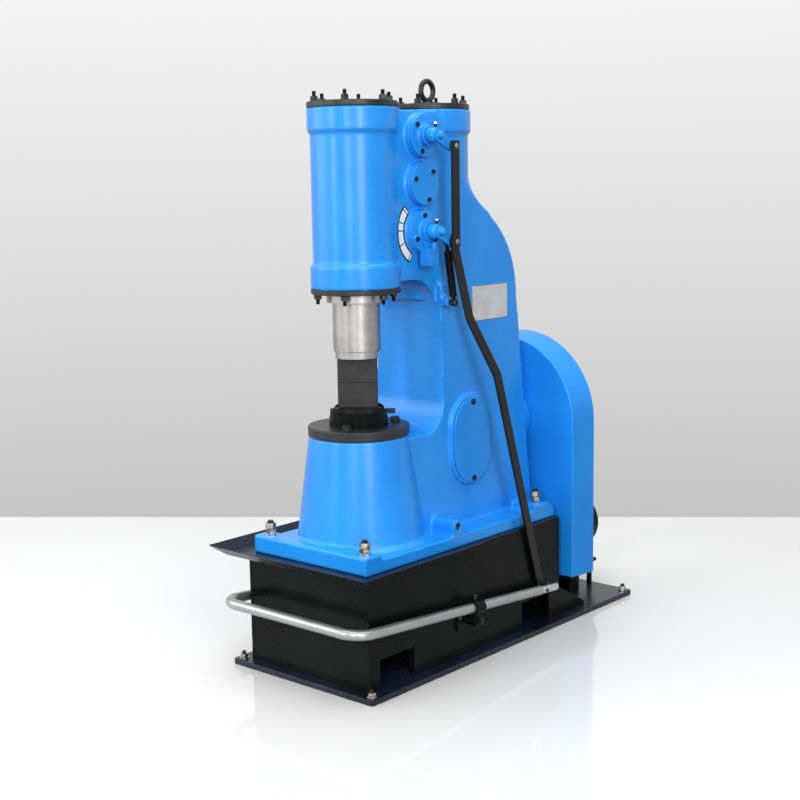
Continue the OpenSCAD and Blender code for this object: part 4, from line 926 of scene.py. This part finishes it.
class HAMMER_OT_fasteners(bpy.types.Operator):
    """Fits studs, nuts and washers on covers, gland, foot, anvil and base"""
    bl_idname = "hammer.fasteners"
    bl_label = "Fasteners"

    def execute(self, context):
        sizes, finishes = settings(context)
        black = black_pressed(finishes)
        thin, thick = 0.0018, 0.0024
        for name, y, z, start, facing in (("front_cover_studs", HAMMER_Y, COVER_TOP, 3, "Z"),
                                          ("rear_cover_studs", COMPRESSOR_Y, COVER_TOP, 56, "Z"),
                                          ("gland_studs", HAMMER_Y, GLAND_FACE, 56.5, "-Z")):
            bm = bmesh.new()
            for place in ring_spots(y, z, sizes.cover_ring, start, 6, facing):
                washer(bm, place, 0.0105, sizes.cover_stud, thin)
                nut(bm, raised(place, thin), sizes.cover_nut, 0.0105, sizes.cover_stud)
                stud(bm, place, sizes.cover_stud, 0.002, 0.0245)
            settle(name, bm, black, "frame")
        nuts, ends, washers = bmesh.new(), bmesh.new(), bmesh.new()
        for x, y in ((0.164, -0.508), (-0.164, -0.508), (0.162, 0.2), (-0.162, 0.2)):
            place = spot(x, y, PAD_TOP)
            for level in (0.0, 0.0158):
                nut(nuts, raised(place, level, 3 * x + 40 * level), sizes.foot_nut, 0.0155, sizes.foot_stud)
            stud(ends, place, sizes.foot_stud, 0.001, 0.037, 0.002)
        for x, y in ((0.225, 0.56), (0.225, -0.56), (-0.225, 0.56), (-0.225, -0.56)):
            place = spot(x, y, BASE_TOP)
            washer(washers, place, 0.0128, sizes.anchor_stud, thick)
            nut(nuts, raised(place, thick, 2 * x + y), sizes.anchor_nut, 0.0095, sizes.anchor_stud)
            stud(ends, place, sizes.anchor_stud, 0.003, 0.0185)
        settle("foot_and_anchor_nuts", nuts, zinc_passivated(finishes), "frame")
        settle("foot_and_anchor_stud_ends", ends, black, "frame")
        settle("anchor_washers", washers, zinc_pressed(finishes), "frame")
        clamps = bmesh.new()
        for x, y in ((0.0448, -0.2545), (0.0389, -0.429)):
            place = spot(x, y, ANVIL_TOP)
            washer(clamps, place, 0.0138, 0.005, thick)
            hex_head(clamps, raised(place, thick), 0.021, 0.0105)
        settle("anvil_bolts", clamps, black, "frame")
        return {"FINISHED"}


class HAMMER_OT_plates(bpy.types.Operator):
    """Fixes the divided arc beside the lower lever and the bare plate on the column"""
    bl_idname = "hammer.plates"
    bl_label = "Arc and bare plate"

    def execute(self, context):
        finishes = context.scene.hammer_finishes
        casting = bpy.data.objects["cast_frame"]
        tree = BVHTree.FromObject(casting, context.evaluated_depsgraph_get())

        def lying(y, z, up):
            found = tree.ray_cast(Vector((0.3, y, z)), Vector((-1, 0, 0)))[0]
            if found is None:
                raise RuntimeError("the plate lies off the casting")
            return Vector((found.x + up, y, z))

        first, last, middle, half, line = 130.0, 243.5, 0.0745, 0.0136, 0.004
        divisions = (137.5, 162, 177.5, 204, 237)
        rule = 2.4
        cuts = {first + step for step in (0, 0.6, 1.5, rule)} | {last - step for step in (0, 0.6, 1.5, rule)}
        cuts.update(d + s * 1.15 for d in divisions for s in (-1, 1))
        cuts.update(c for c in range(134, 241, 3) if all(abs(c - d) > 1.9 for d in divisions))
        cuts = sorted(cuts)
        bm = bmesh.new()
        grid = []
        for level in (-0.002, 0.0009):
            rows = []
            for cut in cuts:
                turn = math.radians(cut)
                short = max(0.0, 1 - min(cut - first, last - cut) / 5.5)
                wide = half * (0.35 + 0.65 * math.sqrt(1 - short * short))
                rows.append([bm.verts.new(lying(VALVE_Y + (middle + off) * math.cos(turn),
                                                VALVE_Z[0] + (middle + off) * math.sin(turn), level))
                             for off in (-wide, line - wide, wide - line, wide)])
            grid.append(rows)
        low, top = grid
        for i in range(len(cuts) - 1):
            mean = (cuts[i] + cuts[i + 1]) / 2
            ruled = min(mean - first, last - mean) < rule or any(abs(mean - d) < 1.1 for d in divisions)
            for j in range(3):
                face = bm.faces.new((top[i][j], top[i][j + 1], top[i + 1][j + 1], top[i + 1][j]))
                face.material_index = 1 if ruled or j != 1 else 0
                under = (low[i][j], low[i + 1][j], low[i + 1][j + 1], low[i][j + 1])
                bm.faces.new(under).material_index = 1
            for j in (0, 3):
                bm.faces.new((low[i][j], top[i][j], top[i + 1][j], low[i + 1][j])).material_index = 1
        for i in (0, len(cuts) - 1):
            for j in range(3):
                bm.faces.new((low[i][j], low[i][j + 1], top[i][j + 1], top[i][j])).material_index = 1
        settle("divided_arc", bm, [arc_white(finishes), arc_black(finishes)], "frame")

        plate_y, plate_z, corner, half_y, half_z = 0.068, 0.913, 0.006, 0.078, 0.047
        wall = lying(plate_y, 0.945, 0.0).x
        quarters = ((1, 1, 0), (-1, 1, 90), (-1, -1, 180), (1, -1, 270))
        outline = []
        for sy, sz, start in quarters:
            outline += arc(plate_y + sy * (half_y - corner), plate_z + sz * (half_z - corner), corner,
                           start, start + 90, 4)
        bm = bmesh.new()
        face = prism(bm, outline, wall - 0.002, wall + 0.0018)
        bmesh.ops.inset_individual(bm, faces=[face], thickness=0.0028)
        for side in bmesh.ops.inset_individual(bm, faces=[face], thickness=0.0011)["faces"]:
            side.material_index = 1
        for sy, sz, _ in quarters:
            lathe(bm, spot(wall + 0.0016, plate_y + 0.0715 * sy, plate_z + 0.0405 * sz, "X"),
                  [(0, 0), (3.2, 0), (3.2, 0.6), (2.2, 1.6), (0, 2)], 20)
        settle("bare_plate", bm, [plate_aluminium(finishes), arc_black(finishes)], "frame")
        return {"FINISHED"}


# Stage, with lamps as name, place, aim, width, height and power

CAMERA_PLACE, CAMERA_LENS = (2.363571, -2.8815, 1.230789), 61.97
CAMERA_TURN, CAMERA_PITCH, CAMERA_ROLL = (math.radians(angle) for angle in (41.208, 8.923, -0.952))
FLOOR_TURN, FLOOR_BACK, FLOOR_WIDE, FLOOR_DEEP = math.radians(37.23), 1.282, 7, 4
HAMMER_MIDDLE = (0, -0.3, 1.0)
LAMPS = (("left_softbox", (-3.45, -3.24, 2.3), HAMMER_MIDDLE, 3.2, 3.2, 90),
         ("key_strip", (-0.85, -4.82, 2.3), HAMMER_MIDDLE, 0.6, 2.6, 78),
         ("front_softbox", (2.2, -4.15, 2.2), HAMMER_MIDDLE, 0.9, 2.6, 70),
         ("right_softbox", (4.1, -2.4, 2.2), HAMMER_MIDDLE, 1.2, 2.8, 122),
         ("top_softbox", (0.2, -0.4, 4.6), (0.2, -0.4, 0), 4.0, 4.0, 165))


class HAMMER_OT_stage(bpy.types.Operator):
    """Sets the floor, soft lights, pale background and camera"""
    bl_idname = "hammer.stage"
    bl_label = "Stage"

    def execute(self, context):
        scene = context.scene
        away = Vector((-math.sin(CAMERA_TURN), math.cos(CAMERA_TURN), 0))
        forward = away * math.cos(CAMERA_PITCH) - Vector((0, 0, math.sin(CAMERA_PITCH)))
        level = Vector((math.cos(CAMERA_TURN), math.sin(CAMERA_TURN), 0))
        upright = level.cross(forward)
        right = level * math.cos(CAMERA_ROLL) + upright * math.sin(CAMERA_ROLL)
        up = -level * math.sin(CAMERA_ROLL) + upright * math.cos(CAMERA_ROLL)
        data = bpy.data.cameras.new("photo_camera")
        data.lens, data.sensor_width = CAMERA_LENS, 36
        camera = bpy.data.objects.new("photo_camera", data)
        axes = Matrix((right, up, -forward)).transposed().to_4x4()
        camera.matrix_world = Matrix.Translation(CAMERA_PLACE) @ axes
        scene.collection.objects.link(camera)
        scene.camera = camera

        bm = bmesh.new()
        bmesh.ops.create_grid(bm, x_segments=2, y_segments=2, size=1)
        bm.transform(Matrix.Rotation(FLOOR_TURN, 4, "Z") @ Matrix.Translation((0, FLOOR_BACK - FLOOR_DEEP, 0))
                     @ Matrix.Diagonal((FLOOR_WIDE, FLOOR_DEEP, 1, 1)))
        mesh = bpy.data.meshes.new("studio_floor")
        bm.to_mesh(mesh)
        bm.free()
        mesh.materials.append(floor_finish(scene.hammer_finishes))
        floor = bpy.data.objects.new("studio_floor", mesh)
        scene.collection.objects.link(floor)

        world = bpy.data.worlds.new("studio_wall")
        scene.world = world
        world.use_nodes = True
        tree = world.node_tree
        tree.nodes.clear()
        way = add(tree, "TexCoord").outputs["Generated"]
        rise = add(tree, "SeparateXYZ", {0: way}).outputs["Z"]
        behind = add(tree, "VectorMath", {0: way, 1: away}, operation="DOT_PRODUCT").outputs["Value"]
        share, high, back = (
            add(tree, "MapRange", {"Value": value, "From Min": start, "From Max": end}).outputs[0]
            for value, start, end in ((rise, -0.24, 0.13), (rise, 0.0, 0.8), (behind, 0.1, 0.8)))
        wall, room = (
            add(tree, "Mix", {0: part, 6: linear(dark), 7: linear(pale)}, data_type="RGBA").outputs[2]
            for part, dark, pale in ((share, "#C4C4C4", "#F4F4F4"), (high, "#7C7C7C", "#C8C8C8")))
        lit = add(tree, "Mix", {0: back, 6: room, 7: wall}, data_type="RGBA").outputs[2]
        fill = add(tree, "Background", {"Color": lit, "Strength": 1.0}).outputs[0]
        shown = add(tree, "Background", {"Color": wall, "Strength": 1.0}).outputs[0]
        both = add(tree, "MixShader", {0: looked_at(tree), 1: fill, 2: shown}).outputs[0]
        add(tree, "OutputWorld", {"Surface": both})

        for name, place, aim, wide, tall, power in LAMPS:
            light = bpy.data.lights.new(name, "AREA")
            light.shape, light.size, light.size_y, light.energy = "RECTANGLE", wide, tall, power
            lamp = bpy.data.objects.new(name, light)
            toward = (Vector(place) - Vector(aim)).to_track_quat("Z", "Y")
            lamp.matrix_world = Matrix.Translation(place) @ toward.to_matrix().to_4x4()
            scene.collection.objects.link(lamp)
        scene.view_settings.view_transform = "Standard"
        return {"FINISHED"}


class HAMMER_PT_sidebar(bpy.types.Panel):
    """Sizes, colours and building steps of the hammer"""
    bl_idname = "HAMMER_PT_sidebar"
    bl_label = "Forging hammer"
    bl_space_type = "VIEW_3D"
    bl_region_type = "UI"
    bl_category = "Hammer"

    def draw(self, context):
        for group in settings(context):
            for key in group.bl_rna.properties.keys():
                if key not in ("rna_type", "name"):
                    self.layout.prop(group, key)
        for step in OPERATORS:
            self.layout.operator(step.bl_idname)


GROUPS = (HammerFinishes, HammerSizes)
OPERATORS = (HAMMER_OT_casting, HAMMER_OT_covers, HAMMER_OT_guard, HAMMER_OT_stand, HAMMER_OT_head,
             HAMMER_OT_dies, HAMMER_OT_gear, HAMMER_OT_treadle, HAMMER_OT_motor, HAMMER_OT_fasteners,
             HAMMER_OT_plates, HAMMER_OT_stage)


def register():
    for kind in GROUPS + OPERATORS + (HAMMER_PT_sidebar,):
        bpy.utils.register_class(kind)
    bpy.types.Scene.hammer_finishes = PointerProperty(type=HammerFinishes)
    bpy.types.Scene.hammer_sizes = PointerProperty(type=HammerSizes)


def unregister():
    del bpy.types.Scene.hammer_finishes, bpy.types.Scene.hammer_sizes
    for kind in (HAMMER_PT_sidebar,) + OPERATORS + GROUPS:
        bpy.utils.unregister_class(kind)


def main():
    """Registers the add-on and runs its steps in order."""
    register()
    bpy.ops.hammer.casting()
    bpy.ops.hammer.covers()
    bpy.ops.hammer.guard()
    bpy.ops.hammer.stand()
    bpy.ops.hammer.head()
    bpy.ops.hammer.dies()
    bpy.ops.hammer.gear()
    bpy.ops.hammer.treadle()
    bpy.ops.hammer.motor()
    bpy.ops.hammer.fasteners()
    bpy.ops.hammer.plates()
    bpy.ops.hammer.stage()


if __name__ == "__main__":
    main()
